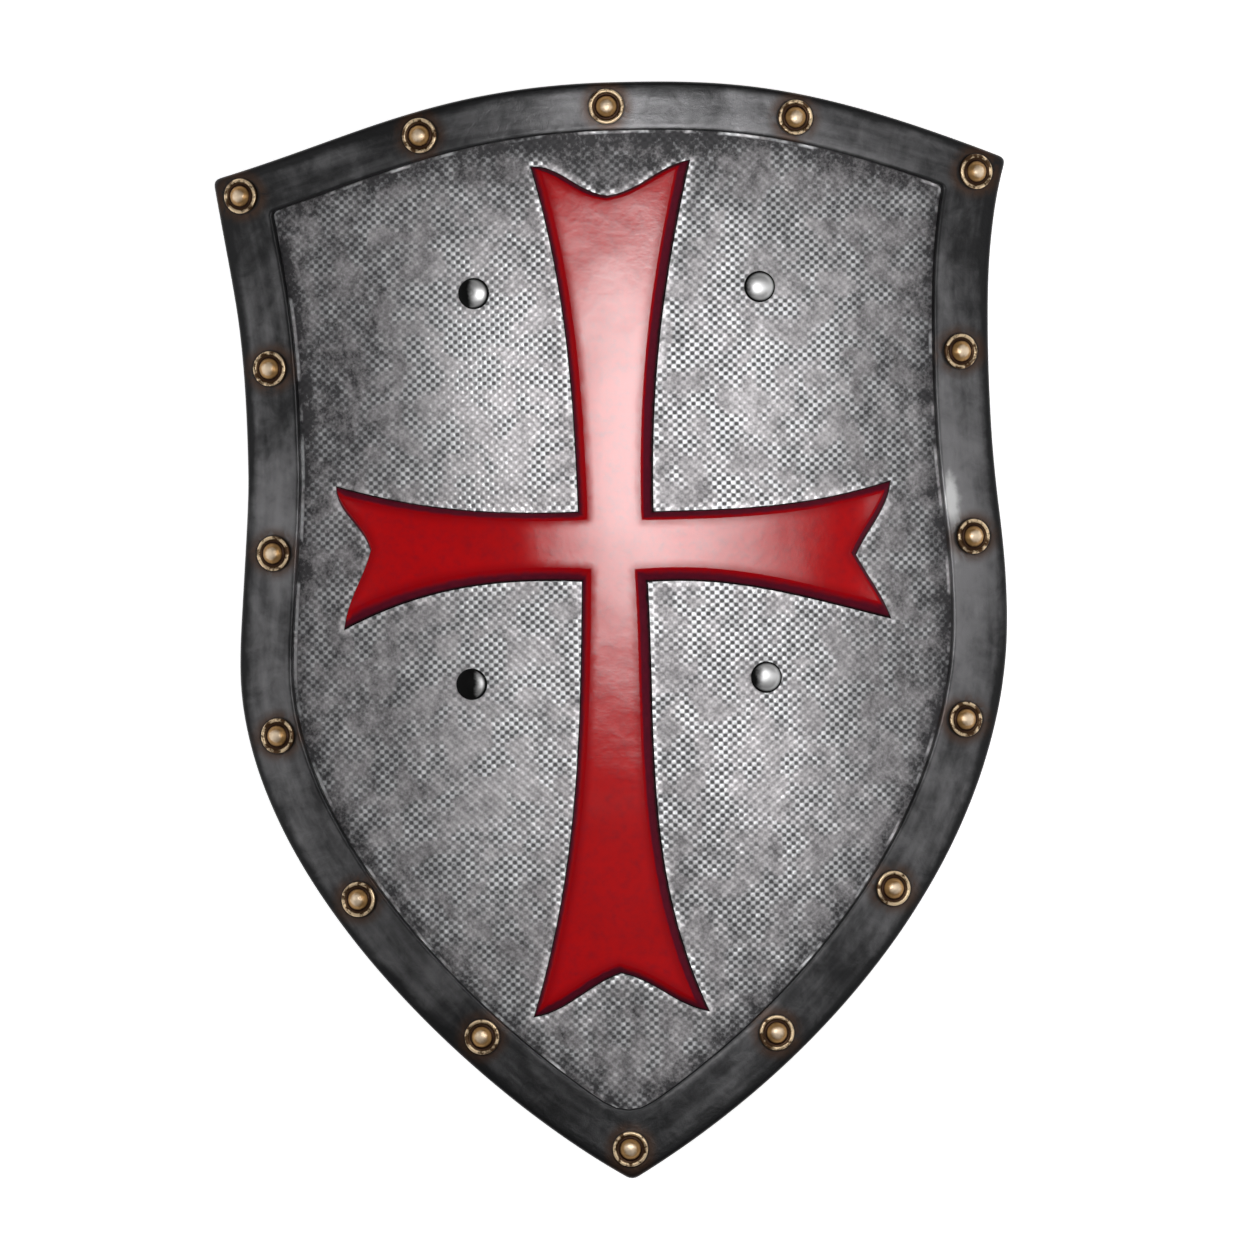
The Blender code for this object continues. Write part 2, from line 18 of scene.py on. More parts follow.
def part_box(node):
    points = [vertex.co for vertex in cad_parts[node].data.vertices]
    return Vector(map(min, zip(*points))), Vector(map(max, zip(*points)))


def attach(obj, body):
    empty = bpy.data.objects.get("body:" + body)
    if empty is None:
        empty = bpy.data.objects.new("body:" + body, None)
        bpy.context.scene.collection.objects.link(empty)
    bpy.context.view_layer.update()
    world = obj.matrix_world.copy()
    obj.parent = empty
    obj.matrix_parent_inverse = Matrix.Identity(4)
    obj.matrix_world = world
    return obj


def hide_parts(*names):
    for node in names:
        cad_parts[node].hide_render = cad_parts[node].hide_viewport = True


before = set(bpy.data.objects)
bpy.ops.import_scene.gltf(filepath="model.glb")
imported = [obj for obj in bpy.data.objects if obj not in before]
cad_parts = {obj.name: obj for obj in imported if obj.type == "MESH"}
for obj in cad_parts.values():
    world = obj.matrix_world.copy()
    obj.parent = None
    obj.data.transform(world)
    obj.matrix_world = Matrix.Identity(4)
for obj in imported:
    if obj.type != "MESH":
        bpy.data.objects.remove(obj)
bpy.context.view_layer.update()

MM = 0.001

# Slack for two plan lines that are parallel, for two that meet at an end, and for a cut
PARALLEL_AREA = 1e-14
MEETING_SLACK = 1e-6
CUT_SLACK = 0.01 * MM

# Steps of a rounded corner, and of the lines that distances are measured from
CORNER_SHARES = (0.25, 0.5, 0.75)
DISTANCE_STEP = 0.5 * MM

# Whole shield, as in the solids
SHIELD_WIDTH = 432.6 * MM
SHIELD_HEIGHT = 599.8 * MM
FRONT_RADIUS = 480 * MM
OUTLINE_STEP = 5 * MM
OUTLINE_CORNER_CUT = 4 * MM
BOARD_THICKNESS = 12 * MM
BOARD_BACK_ROUNDING = 1 * MM
BACK_STRIP_WIDTH = 7.2 * MM
GLUE_GAP = 0.3 * MM

# Rim
RIM_THICKNESS = 4 * MM
RIM_WIDTHS = (26.5 * MM, 30 * MM, 28.5 * MM)
RIM_EDGE_RADIUS = 2 * MM
RIM_INNER_RADIUS = 1.1 * MM
RIM_INNER_CUTS = (3 * MM, 16 * MM, 3 * MM)
RIM_LINES_ACROSS = 7
RIM_UNEVENNESS = 0.35 * MM
RIM_SWELL_SIZE = 24 * MM
RIM_SWELL_LAYER = 7 * MM
RIM_CALM_ROUND_STUDS = 6 * MM
RIM_LENGTH = 1.6
RIM_POLISH = 0.42

# Cross
CROSS_THICKNESS = 6 * MM
CROSS_TOP_CLEARANCE = 16.8 * MM
CROSS_LOW_CLEARANCE = 61.5 * MM
CROSS_LEFT_CLEARANCE = 25.7 * MM
CROSS_RIGHT_CLEARANCE = 31.3 * MM
CROSS_SIDE_SLOPE = 5.2 * MM
CROSS_END_SLOPE = 3.2 * MM
CROSS_TOP_LEAN = Vector((-0.8 * MM, 1.3 * MM))
CROSS_STEP = 4 * MM
CROSS_STRIP_WIDTH = 4.8 * MM
CROSS_PULL = 0.36
CROSS_SLOPE_LINES = (0.25, 0.5, 0.75, 0.92)
CROSS_TOP_SLACK = 0.002 * MM

# Lines inside the cross's crest: how far in, and how far below the top
CROSS_CREST_LINES = (
    (0.25 * MM, 0.22 * MM),
    (0.7 * MM, 0.05 * MM),
    (1.1 * MM, 0),
    (4 * MM, 0),
    (6.5 * MM, 0),
)

# Studs and rivets
TURNED_SEGMENTS = 48
TOP_STUD_SPACES = 4
SIDE_STUD_SPACES = 6
RIGHT_FIRST_SPACE = 99 * MM
LEFT_FIRST_SPACE = 96 * MM
SIDE_STUD_DRIFT = 2.4 * MM
STUD_RADIUS = 9.7 * MM
STUD_RING_HEIGHT = 1.8 * MM
STUD_RING_WIDTH = 2.2 * MM
STUD_GROOVE_HEIGHT = 0.9 * MM
STUD_GROOVE_EDGES = (0.3 * MM, 0.1 * MM)
STUD_DOME_RADIUS = 5.8 * MM
STUD_DOME_HEIGHT = 4.9 * MM
STUD_TURN = math.radians(67)
RIVET_HEAD_RADIUS = 8.6 * MM
RIVET_HEAD_HEIGHT = 4.8 * MM
RIVET_EDGE_HEIGHT = 0.7 * MM
RIVET_UNDERCUT = (0.15 * MM, 0.2 * MM)
RIVET_SOFT_EDGE = 0.35 * MM
RIVET_SHANK_RADIUS = 2.5 * MM
RIVET_HOLE_RADIUS = 2.8 * MM
RIVET_HOLE_SEGMENTS = 16
RIVET_WASHER_RADIUS = 7 * MM
RIVET_WASHER_HEIGHT = 1.8 * MM
RIVET_WASHER_ROUNDING = 0.97
RIVETS_ABOVE_ARM = 120.5 * MM
RIVETS_BELOW_ARM = 54.5 * MM
RIVETS_LEFT_OF_ARM = 57 * MM
RIVETS_RIGHT_OF_ARM = 60 * MM
LEFT_STRAP_LEAN = math.radians(1.7)
RIGHT_STRAP_LEAN = math.radians(0.4)

# How far painted shade reaches over each rivet's head, from its left side
RIVET_SIDE_SHADE = {
    "strap_rivet_upper_left": 0.62,
    "strap_rivet_lower_left": 0.88,
    "strap_rivet_upper_right": 0.30,
    "strap_rivet_lower_right": 0.40,
}

# Straps
STRAP_THICKNESS = 3 * MM
STRAP_SEAT_GAP = 0.6 * MM
STRAP_WIDTHS = {"hand_strap": 25 * MM, "forearm_strap": 30 * MM}
STRAP_EDGE_ROUNDING = 0.7 * MM
STRAP_WELD = 0.002 * MM
STRAP_FLAT_ANGLE = math.radians(1)
STRAP_EDGE_ANGLE = math.radians(60)
STRAP_MIDDLE_SHARE = 0.2
STRAP_DEPTH = 30 * MM
STITCH_LENGTH = 4.2 * MM
STITCH_SPACING = 6.2 * MM
STITCH_THICKNESS = 0.85 * MM
STITCH_INSET = 3 * MM
STITCH_SEARCH = 100 * MM
STITCH_RIVET_GAP = 1.4 * MM

# The field's stamped weave, an even pattern of pits and peaks
WEAVE_CELL = (2.6 * MM, 2.3 * MM)
WEAVE_DEPTH = 0.42 * MM
WEAVE_SHALLOWEST = 0.6
WEAVE_SWELL_SIZE = 30 * MM
WEAVE_SPARE_COLUMNS = 8
FIELD_UNDER_RIM = 1.6 * MM
FIELD_UNDER_CROSS = 2.6 * MM
FIELD_ROUND_RIVETS = 4.6 * MM

# The photograph's own frame, whose middle falls on a point of the plan
PHOTO_SIDE = 1250
PHOTO_TIP = Vector((632.5, 1179))
PHOTO_PIXEL = 0.54724 * MM
PHOTO_ROLL = math.radians(1.4)
CAMERA_LENS = 600
CAMERA_SENSOR = 36
CAMERA_REFERENCE_HEIGHT = 42 * MM

# Each light's place, aim, width, height and watts
SOFT_BOX = ((0.18, 0.115, 1.06), (0.18, 0.115, 0), 1.0, 0.44, 21)
LEFT_PANEL = ((-1.4, 0.08, 1.25), (-0.1, 0.08, 0), 0.7, 0.6, 2.4)
RIGHT_PANEL = ((1.3, 0.06, 1.25), (0.1, 0.06, 0), 0.7, 0.6, 2.4)

# The soft box: shares of its sides where it starts, is full, starts to fade and ends
BOX_ACROSS = (0.04, 0.36, 0.38, 1.0)
BOX_UP = (0.05, 0.43, 0.61, 0.89)

# The surround is pale up to a height, as a share of straight up, and dim overhead
WALL_TOP = 0.15
CEILING_START = 0.5
WALL_BRIGHTNESS = 1.0
CEILING_BRIGHTNESS = 0.04
FLOOR_SIZE = 40
FLOOR_DROP = 0.2 * MM

# Outline knots, as shares of the shield's width and height, clockwise from the upper left
UPPER_LEFT = (-0.4970, 0.9216)
CROWN = (0.0116, 1.0)
UPPER_RIGHT = (0.5030, 0.9240)
RIGHT_WAIST = (0.4748, 0.7431)
RIGHT_BULGE = (0.4908, 0.5110)
TIP = (0.0009, 0.0)
LEFT_BULGE = (-0.4778, 0.4693)
LEFT_WAIST = (-0.4616, 0.6530)

# The cross's foot, as shares of its own width and height from its lower left
INNER_UPPER_LEFT = (0.4349, 0.5912)
INNER_UPPER_RIGHT = (0.5710, 0.5895)
INNER_LOWER_RIGHT = (0.5578, 0.5065)
INNER_LOWER_LEFT = (0.4389, 0.5087)
TOP_LEFT_TIP = (0.3641, 0.9964)
TOP_NOTCH = (0.5025, 0.9603)
TOP_RIGHT_TIP = (0.6524, 1.0)
RIGHT_UPPER_TIP = (1.0, 0.6195)
RIGHT_NOTCH = (0.9341, 0.5327)
RIGHT_LOWER_TIP = (0.9951, 0.4566)
LOW_RIGHT_TIP = (0.6507, 0.0021)
LOW_NOTCH = (0.4926, 0.0493)
LOW_LEFT_TIP = (0.3328, 0.0)
LEFT_LOWER_TIP = (0.0082, 0.4587)
LEFT_NOTCH = (0.0593, 0.5509)
LEFT_UPPER_TIP = (0.0, 0.6281)


# The plan

def heading(degrees):
    return Vector((math.cos(math.radians(degrees)), math.sin(math.radians(degrees))))


def curve(start, start_heading, start_pull, end, end_heading, end_pull, step):
    """Points of one smooth curve in the plan, from start to end."""
    chord = (end - start).length
    start_handle = start + heading(start_heading) * chord * start_pull
    end_handle = end - heading(end_heading) * chord * end_pull
    count = max(3, round(chord / step))
    points = []
    for index in range(count + 1):
        t = index / count
        s = 1 - t
        points.append(start * s ** 3 + start_handle * 3 * t * s * s
                      + end_handle * 3 * t * t * s + end * t ** 3)
    return points


def outline_point(share):
    return Vector((share[0] * SHIELD_WIDTH, share[1] * SHIELD_HEIGHT))


def shield_sides():
    """Top, right and left side of the outline, clockwise as seen from the front."""
    top = (
        (UPPER_LEFT, 14.5, 0.35, CROWN, 0, 0.44),
        (CROWN, 0, 0.31, UPPER_RIGHT, -22, 0.52),
    )
    right = (
        (UPPER_RIGHT, -107.5, 0.32, RIGHT_WAIST, -90, 0.35),
        (RIGHT_WAIST, -90, 0.57, RIGHT_BULGE, -90, 0.40),
        (RIGHT_BULGE, -90, 0.31, TIP, -150, 0.39),
    )
    left = (
        (TIP, 150, 0.26, LEFT_BULGE, 90, 0.33),
        (LEFT_BULGE, 90, 0.24, LEFT_WAIST, 90, 0.24),
        (LEFT_WAIST, 90, 0.51, UPPER_LEFT, 98.5, 0.45),
    )
    sides = []
    for curves in (top, right, left):
        side = [outline_point(curves[0][0])]
        for start, start_heading, start_pull, end, end_heading, end_pull in curves:
            side += curve(outline_point(start), start_heading, start_pull,
                          outline_point(end), end_heading, end_pull, OUTLINE_STEP)[1:]
        sides.append(side)
    return sides


def cross_point(share):
    """A point of the cross's foot, whose box keeps its clearances inside the rim."""
    left = outline_point(LEFT_BULGE).x + RIM_WIDTHS[2] + CROSS_LEFT_CLEARANCE
    right = outline_point(RIGHT_BULGE).x - RIM_WIDTHS[1] - CROSS_RIGHT_CLEARANCE
    low = outline_point(TIP).y + RIM_WIDTHS[2] + CROSS_LOW_CLEARANCE
    high = outline_point(CROWN).y - RIM_WIDTHS[0] - CROSS_TOP_CLEARANCE
    return Vector((left + (right - left) * share[0], low + (high - low) * share[1]))


def cross_sides():
    """The sixteen edges of the cross's foot, clockwise from the upper arm's left edge.

    Each corner has the headings with which the edge after it starts and ends.
    """
    corners = (
        (INNER_UPPER_LEFT, 91, 105),
        (TOP_LEFT_TIP, 4, -5),
        (TOP_NOTCH, 6, 8),
        (TOP_RIGHT_TIP, -104, -90),
        (INNER_UPPER_RIGHT, 0, 17),
        (RIGHT_UPPER_TIP, -96, -115),
        (RIGHT_NOTCH, -63, -72),
        (RIGHT_LOWER_TIP, 165, 183),
        (INNER_LOWER_RIGHT, -88, -66),
        (LOW_RIGHT_TIP, 170, 168),
        (LOW_NOTCH, -162, -173),
        (LOW_LEFT_TIP, 72, 88),
        (INNER_LOWER_LEFT, 176, 207),
        (LEFT_LOWER_TIP, 84, 74),
        (LEFT_NOTCH, 102, 86),
        (LEFT_UPPER_TIP, -17, 1),
    )
    sides = []
    for (corner, start_heading, end_heading), following in zip(corners, corners[1:] + corners[:1]):
        sides.append(curve(cross_point(corner), start_heading, CROSS_PULL,
                           cross_point(following[0]), end_heading, CROSS_PULL, CROSS_STEP))
    return sides


def shifted(points, distance):
    """An open run of points moved to its right hand side."""
    moved = []
    for index, point in enumerate(points):
        before = points[max(index - 1, 0)]
        after = points[min(index + 1, len(points) - 1)]
        along = (after - before).normalized()
        moved.append(point + Vector((along.y, -along.x)) * distance)
    return moved


def crossing(start, end, other_start, other_end):
    """Where one segment meets another, as a share of the first, or None."""
    first = end - start
    second = other_end - other_start
    area = first.cross(second)
    if abs(area) < PARALLEL_AREA:
        return None
    share = (other_start - start).cross(second) / area
    other = (other_start - start).cross(first) / area
    meets = all(-MEETING_SLACK <= value <= 1 + MEETING_SLACK for value in (share, other))
    return share if meets else None


def joined(first, second):
    """Two neighbouring runs, cut back or drawn out so that one ends where the other starts."""
    reach = SHIELD_WIDTH / 10
    drawn_out = first + [first[-1] + (first[-1] - first[-2]).normalized() * reach]
    drawn_back = [second[0] + (second[0] - second[1]).normalized() * reach] + second
    for i in range(len(drawn_out) - 1, 0, -1):
        for j in range(len(drawn_back) - 1):
            share = crossing(drawn_out[i - 1], drawn_out[i], drawn_back[j], drawn_back[j + 1])
            if share is not None:
                point = drawn_out[i - 1].lerp(drawn_out[i], share)
                return drawn_out[:i] + [point], [point] + drawn_back[j + 1:]
    raise ValueError("two neighbouring sides don't meet")


def moved_in(sides, distances):
    """Each side of a closed outline moved inward by its own distance and trimmed at its ends."""
    runs = [shifted(side, distance) for side, distance in zip(sides, distances)]
    for index in range(len(runs)):
        following = (index + 1) % len(runs)
        runs[index], runs[following] = joined(runs[index], runs[following])
    return runs


def run_length(points):
    return sum((b - a).length for a, b in zip(points, points[1:]))


def along_run(points, distance):
    """The point at a distance along a run."""
    for a, b in zip(points, points[1:]):
        length = (b - a).length
        if distance <= length or b is points[-1]:
            return a.lerp(b, distance / length)
        distance -= length


def evened(points, count):
    """The same run with count points at even distances."""
    whole = run_length(points)
    return [along_run(points, whole * k / (count - 1)) for k in range(count)]


def softened(runs, cuts):
    """One closed ring of points, with the corner after each run rounded over its cut."""
    ring = []
    for index, run in enumerate(runs):
        before = cuts[index - 1]
        after = cuts[index]
        span = run_length(run) - before - after
        count = len(run)
        ring += [along_run(run, before + span * k / (count - 1)) for k in range(count)]
        leave = ring[-1]
        corner = run[-1]
        enter = along_run(runs[(index + 1) % len(runs)], after)
        for share in CORNER_SHARES:
            ring.append(leave.lerp(corner, share).lerp(corner.lerp(enter, share), share))
    return ring


def closed(runs):
    """The runs of a closed outline as one ring."""
    return [point for run in runs for point in run[:-1]]


def side_stud_places(corner_to_tip, first_space, inward):
    """Studs down one side: a first space, then even ones, drifting inward around the middle."""
    whole = run_length(corner_to_tip)
    rest = (whole - first_space) / (SIDE_STUD_SPACES - 1)
    places = []
    for k in range(SIDE_STUD_SPACES - 1):
        distance = first_space + rest * k
        here = along_run(corner_to_tip, distance)
        along = (along_run(corner_to_tip, distance + MM) - here).normalized()
        drift = SIDE_STUD_DRIFT * math.sin(math.pi * distance / whole)
        places.append(here + Vector((along.y, -along.x)) * drift * inward)
    return places


def stud_places(sides):
    """Points along the rim's middle line, from the upper left corner clockwise."""
    top, right, left = moved_in(sides, [width / 2 for width in RIM_WIDTHS])
    places = []
    for k in range(TOP_STUD_SPACES + 1):
        places.append(along_run(top, run_length(top) * k / TOP_STUD_SPACES))
    places += side_stud_places(right, RIGHT_FIRST_SPACE, 1)
    places.append(right[-1])
    places += reversed(side_stud_places(list(reversed(left)), LEFT_FIRST_SPACE, -1))
    return places


# The plan's place in the frame

def highest_point(node):
    return max((vertex.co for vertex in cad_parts[node].data.vertices), key=lambda p: p.z)


AXIS_X = highest_point("board").x
AXIS_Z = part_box("board")[1].z - FRONT_RADIUS
PLAN_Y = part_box("board")[1].y - SHIELD_HEIGHT


def bent(x, y, height):
    """The place of a plan point at a height over the front surface."""
    angle = math.asin(x / FRONT_RADIUS)
    radius = FRONT_RADIUS + height
    return Vector((AXIS_X + radius * math.sin(angle), PLAN_Y + y,
                   AXIS_Z + radius * math.cos(angle)))


def seat(x, y):
    """The frame that stands on the front surface at a plan point, Z outward and Y up the shield."""
    return Matrix.Translation(bent(x, y, 0)) @ Matrix.Rotation(math.asin(x / FRONT_RADIUS), 4, "Y")


SIDES = shield_sides()
CROSS_SIDES = cross_sides()
STUD_PLACES = stud_places(SIDES)


def rivet_frames():
    """Name, strap and frame of each strap rivet."""
    upper = cross_point(INNER_UPPER_LEFT).y + RIVETS_ABOVE_ARM
    lower = cross_point(INNER_LOWER_LEFT).y - RIVETS_BELOW_ARM
    sides = (
        ("left", cross_point(INNER_UPPER_LEFT).x - RIVETS_LEFT_OF_ARM, LEFT_STRAP_LEAN),
        ("right", cross_point(INNER_UPPER_RIGHT).x + RIVETS_RIGHT_OF_ARM, RIGHT_STRAP_LEAN),
    )
    frames = {}
    for side, x, lean in sides:
        middle = seat(x, (upper + lower) / 2) @ Matrix.Rotation(-lean, 4, "Z")
        for level, offset in (("upper", (upper - lower) / 2), ("lower", (lower - upper) / 2)):
            frames["strap_rivet_%s_%s" % (level, side)] = middle @ Matrix.Translation((0, offset, 0))
    return frames


RIVET_FRAMES = rivet_frames()


def plan_place(point):
    """Where a point near the front surface is in the plan."""
    across = point.x - AXIS_X
    out = point.z - AXIS_Z
    return Vector((FRONT_RADIUS * across / math.hypot(across, out), point.y - PLAN_Y))


# Mesh helpers

def ring_vertices(mesh, ring, height):
    return [mesh.verts.new((point.x, point.y, height)) for point in ring]


def ring_edges(mesh, vertices):
    edges = []
    for index, vertex in enumerate(vertices):
        ends = (vertex, vertices[(index + 1) % len(vertices)])
        edges.append(mesh.edges.get(ends) or mesh.edges.new(ends))
    return edges


def band(mesh, first, second):
    """Quads between two rings with as many points."""
    count = len(first)
    for index in range(count):
        following = (index + 1) % count
        mesh.faces.new((first[index], first[following], second[following], second[index]))


def filled(mesh, edges):
    """Triangles over the flat area between closed runs of edges."""
    made = bmesh.ops.triangle_fill(mesh, use_beauty=True, edges=edges, normal=(0, 0, 1))
    return [item for item in made["geom"] if isinstance(item, bmesh.types.BMFace)]


def parted(mesh, faces, width, direction):
    """Cut faces along parallel lines, so that they can bend."""
    positions = [vertex.co.dot(direction) for face in faces for vertex in face.verts]
    pieces = set(faces)
    for step in range(math.ceil(min(positions) / width), math.floor(max(positions) / width) + 1):
        geometry = list(pieces)
        geometry += {edge for face in pieces for edge in face.edges}
        geometry += {vertex for face in pieces for vertex in face.verts}
        made = bmesh.ops.bisect_plane(mesh, geom=geometry, dist=CUT_SLACK,
                                      plane_co=direction * step * width, plane_no=direction)
        pieces |= {item for item in made["geom"] if isinstance(item, bmesh.types.BMFace)}
        pieces = {face for face in pieces if face.is_valid}
    return list(pieces)


def bend(mesh):
    for vertex in mesh.verts:
        vertex.co = bent(*vertex.co)


def distance_tree(ring):
    """A search tree over a closed ring of plan points, for distances to it."""
    whole = ring + ring[:1]
    points = evened(whole, round(run_length(whole) / DISTANCE_STEP))
    tree = KDTree(len(points))
    for index, point in enumerate(points):
        tree.insert((point.x, point.y, 0), index)
    tree.balance()
    return tree


def distance_to(tree, place):
    return tree.find((place.x, place.y, 0))[2]


def layers(mesh, *names):
    """New layers that hold one number for each vertex."""
    return [mesh.verts.layers.float.new(name) for name in names]


def mesh_data(name, mesh):
    """A bmesh's faces as a mesh that objects can share."""
    data = bpy.data.meshes.new(name)
    mesh.to_mesh(data)
    mesh.free()
    return data


def placed(name, data):
    """A new object in the scene."""
    item = bpy.data.objects.new(name, data)
    bpy.context.scene.collection.objects.link(item)
    return item


def show(name, mesh, materials, nodes, matrix=None, sharp=35):
    """A new piece from a bmesh or a mesh, which stands for nodes of the frame."""
    data = mesh_data(name, mesh) if isinstance(mesh, bmesh.types.BMesh) else mesh
    piece = placed(name, data)
    for material in materials:
        if material.name not in data.materials:
            data.materials.append(material)
    data.shade_smooth()
    data.set_sharp_from_angle(angle=math.radians(sharp))
    if matrix is not None:
        piece.matrix_world = matrix
    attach(piece, "root")
    if nodes:
        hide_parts(*nodes)
    return piece


# Materials

class Nodes:
    """Short calls for the nodes of a material, a light or the surround."""

    def __init__(self, owner):
        owner.use_nodes = True
        self.tree = owner.node_tree

    def add(self, kind, inputs=None, **settings):
        node = self.tree.nodes.new(kind)
        for key, value in settings.items():
            setattr(node, key, value)
        for key, value in (inputs or {}).items():
            self.put(node.inputs[key], value)
        return node

    def put(self, socket, value):
        if isinstance(value, bpy.types.NodeSocket):
            self.tree.links.new(value, socket)
        else:
            socket.default_value = value

    def set(self, shader, **values):
        """Values or links for a shader's own sockets, named with underscores."""
        for key, value in values.items():
            self.put(self.tree.nodes[shader].inputs[key.replace("_", " ")], value)

    def math(self, operation, first, second=0.0):
        return self.add("ShaderNodeMath", {0: first, 1: second}, operation=operation).outputs[0]

    def times(self, first, second):
        return self.math("MULTIPLY", first, second)

    def plus(self, first, second):
        return self.math("ADD", first, second)

    def step(self, value, low, high, start=0.0, end=1.0):
        """A smooth rise from start at low to end at high."""
        inputs = {"Value": value, "From Min": low, "From Max": high, "To Min": start, "To Max": end}
        node = self.add("ShaderNodeMapRange", inputs, interpolation_type="SMOOTHSTEP")
        return node.outputs["Result"]

    def parts(self, vector):
        """The X, Y and Z of a vector, as sockets."""
        return self.add("ShaderNodeSeparateXYZ", {"Vector": vector}).outputs


class Paint(Nodes):
    """One procedural material, with short calls for what the paints share."""

    def __init__(self, name):
        self.material = bpy.data.materials.new(name)
        super().__init__(self.material)
        coordinates = self.add("ShaderNodeTexCoord").outputs
        self.place = coordinates["Object"]
        self.facing = coordinates["Normal"]

    def finish(self, **values):
        """Set the surface's own sockets, and give the material."""
        self.set("Principled BSDF", **values)
        return self.material

    def swing(self, value, reach):
        """How far a noise is from its middle, times reach."""
        return self.times(self.math("SUBTRACT", value, 0.5), reach)

    def noise(self, size, detail=2.0, roughness=0.5, stretch=(1, 1, 1), distortion=0.0, place=None):
        """A noise whose blotches are about size across, times stretch along each axis."""
        scale = [1 / factor for factor in stretch]
        spread = self.add("ShaderNodeMapping", {"Vector": place or self.place, "Scale": scale})
        inputs = {
            "Vector": spread.outputs["Vector"],
            "Scale": 1 / size,
            "Detail": detail,
            "Roughness": roughness,
            "Distortion": distortion,
        }
        return self.add("ShaderNodeTexNoise", inputs).outputs["Fac"]

    def attribute(self, name, output="Fac", **settings):
        return self.add("ShaderNodeAttribute", attribute_name=name, **settings).outputs[output]

    def mix(self, factor, first, second):
        node = self.add("ShaderNodeMix", data_type="RGBA")
        self.put(node.inputs[0], factor)
        self.put(node.inputs[6], first)
        self.put(node.inputs[7], second)
        return node.outputs[2]

    def blend(self, factor, first, second):
        """A number from first to second."""
        inputs = {"Value": factor, "To Min": first, "To Max": second}
        return self.add("ShaderNodeMapRange", inputs).outputs["Result"]

    def bump(self, height, depth, normal=None):
        inputs = {"Height": height, "Distance": depth, "Strength": 1.0}
        if normal is not None:
            inputs["Normal"] = normal
        return self.add("ShaderNodeBump", inputs).outputs["Normal"]


def grey(value):
    return (value, value, value, 1)


def field_paint():
    """Silver dry-brush paint over black, thick on the weave's peaks and thin in its pits, with
    painted highlight and painted shade laid on in patches.
    """
    paint = Paint("field_paint")
    brushed_and_lit = paint.attribute("brushed_and_lit")
    from_rim = paint.attribute("from_rim")
    from_cross = paint.attribute("from_cross")
    blotches = paint.noise(24 * MM, 4, 0.6)
    smears = paint.noise(7 * MM, 3, 0.6, (1, 1.4, 1), 0.4)
    specks = paint.noise(1.5 * MM, 3, 0.65)
    patches = paint.noise(16 * MM, 2, 0.5, distortion=0.3)

    lattice = paint.parts(paint.attribute("lattice", "Vector"))
    dots = paint.times(paint.math("COSINE", paint.times(lattice["X"], math.pi)),
                       paint.math("COSINE", paint.times(lattice["Y"], math.pi)))
    dots = paint.step(dots, -0.6, 0.6, -0.5, 0.5)

    # The patches give thicker and thinner silver and also paint the field's highlights and shade
    amount = brushed_and_lit
    for pattern, reach in ((blotches, 0.5), (smears, 1.1), (specks, 0.7)):
        amount = paint.plus(amount, paint.swing(pattern, reach))
    halo = paint.times(paint.step(from_cross, 4.5 * MM, 0.8 * MM), paint.step(smears, 0.3, 0.6))
    amount = paint.plus(amount, paint.times(halo, 0.6))
    # The field is darker within 12 mm of the rim
    darkening = paint.step(from_rim, 12 * MM, 1 * MM)
    amount = paint.plus(amount, paint.times(darkening, -0.25))
    contrast = paint.step(patches, 0.36, 0.62, 0.3, 1.6)
    level = paint.math("MAXIMUM", paint.plus(paint.times(amount, 0.72), 0.3), 0.02)
    cover = paint.times(level, paint.plus(paint.times(dots, contrast), 1.0))
    cover = paint.math("MINIMUM", cover, 1.0)
    # Painted highlight: a pale line on the field along the rim's foot
    rim_foot_highlight = paint.times(paint.step(from_rim, 2.0 * MM, 0.8 * MM),
                            paint.step(blotches, 0.47, 0.6))
    cover = paint.math("MAXIMUM", cover, paint.times(rim_foot_highlight, 0.85))

    silver = paint.mix(paint.step(patches, 0.4, 0.6),
                       (0.83, 0.80, 0.815, 1), (0.81, 0.815, 0.83, 1))
    black = paint.mix(smears, (0.016, 0.015, 0.018, 1), (0.036, 0.033, 0.036, 1))
    return paint.finish(
        Base_Color=paint.mix(cover, black, silver),
        Metallic=paint.times(cover, 0.75),
        Roughness=paint.blend(cover, 0.62, 0.42),
        Normal=paint.bump(specks, 0.25 * MM),
    )


def bare_foam():
    """Black foam, cut and skinned, with fine pores."""
    paint = Paint("bare_foam")
    wide = paint.noise(45 * MM, 3, 0.55)
    pores = paint.noise(0.9 * MM, 2, 0.6)
    scuffs = paint.noise(7 * MM, 4, 0.7, (1, 3, 1))
    wear = paint.step(scuffs, 0.6, 0.78)
    tone = paint.mix(wide, grey(0.0154), grey(0.0308))
    return paint.finish(
        Base_Color=paint.mix(paint.times(wear, 0.5), tone, grey(0.075)),
        Roughness=paint.blend(wear, 0.78, 0.6),
        Normal=paint.bump(paint.plus(paint.times(pores, 0.6), scuffs), 0.35 * MM),
    )


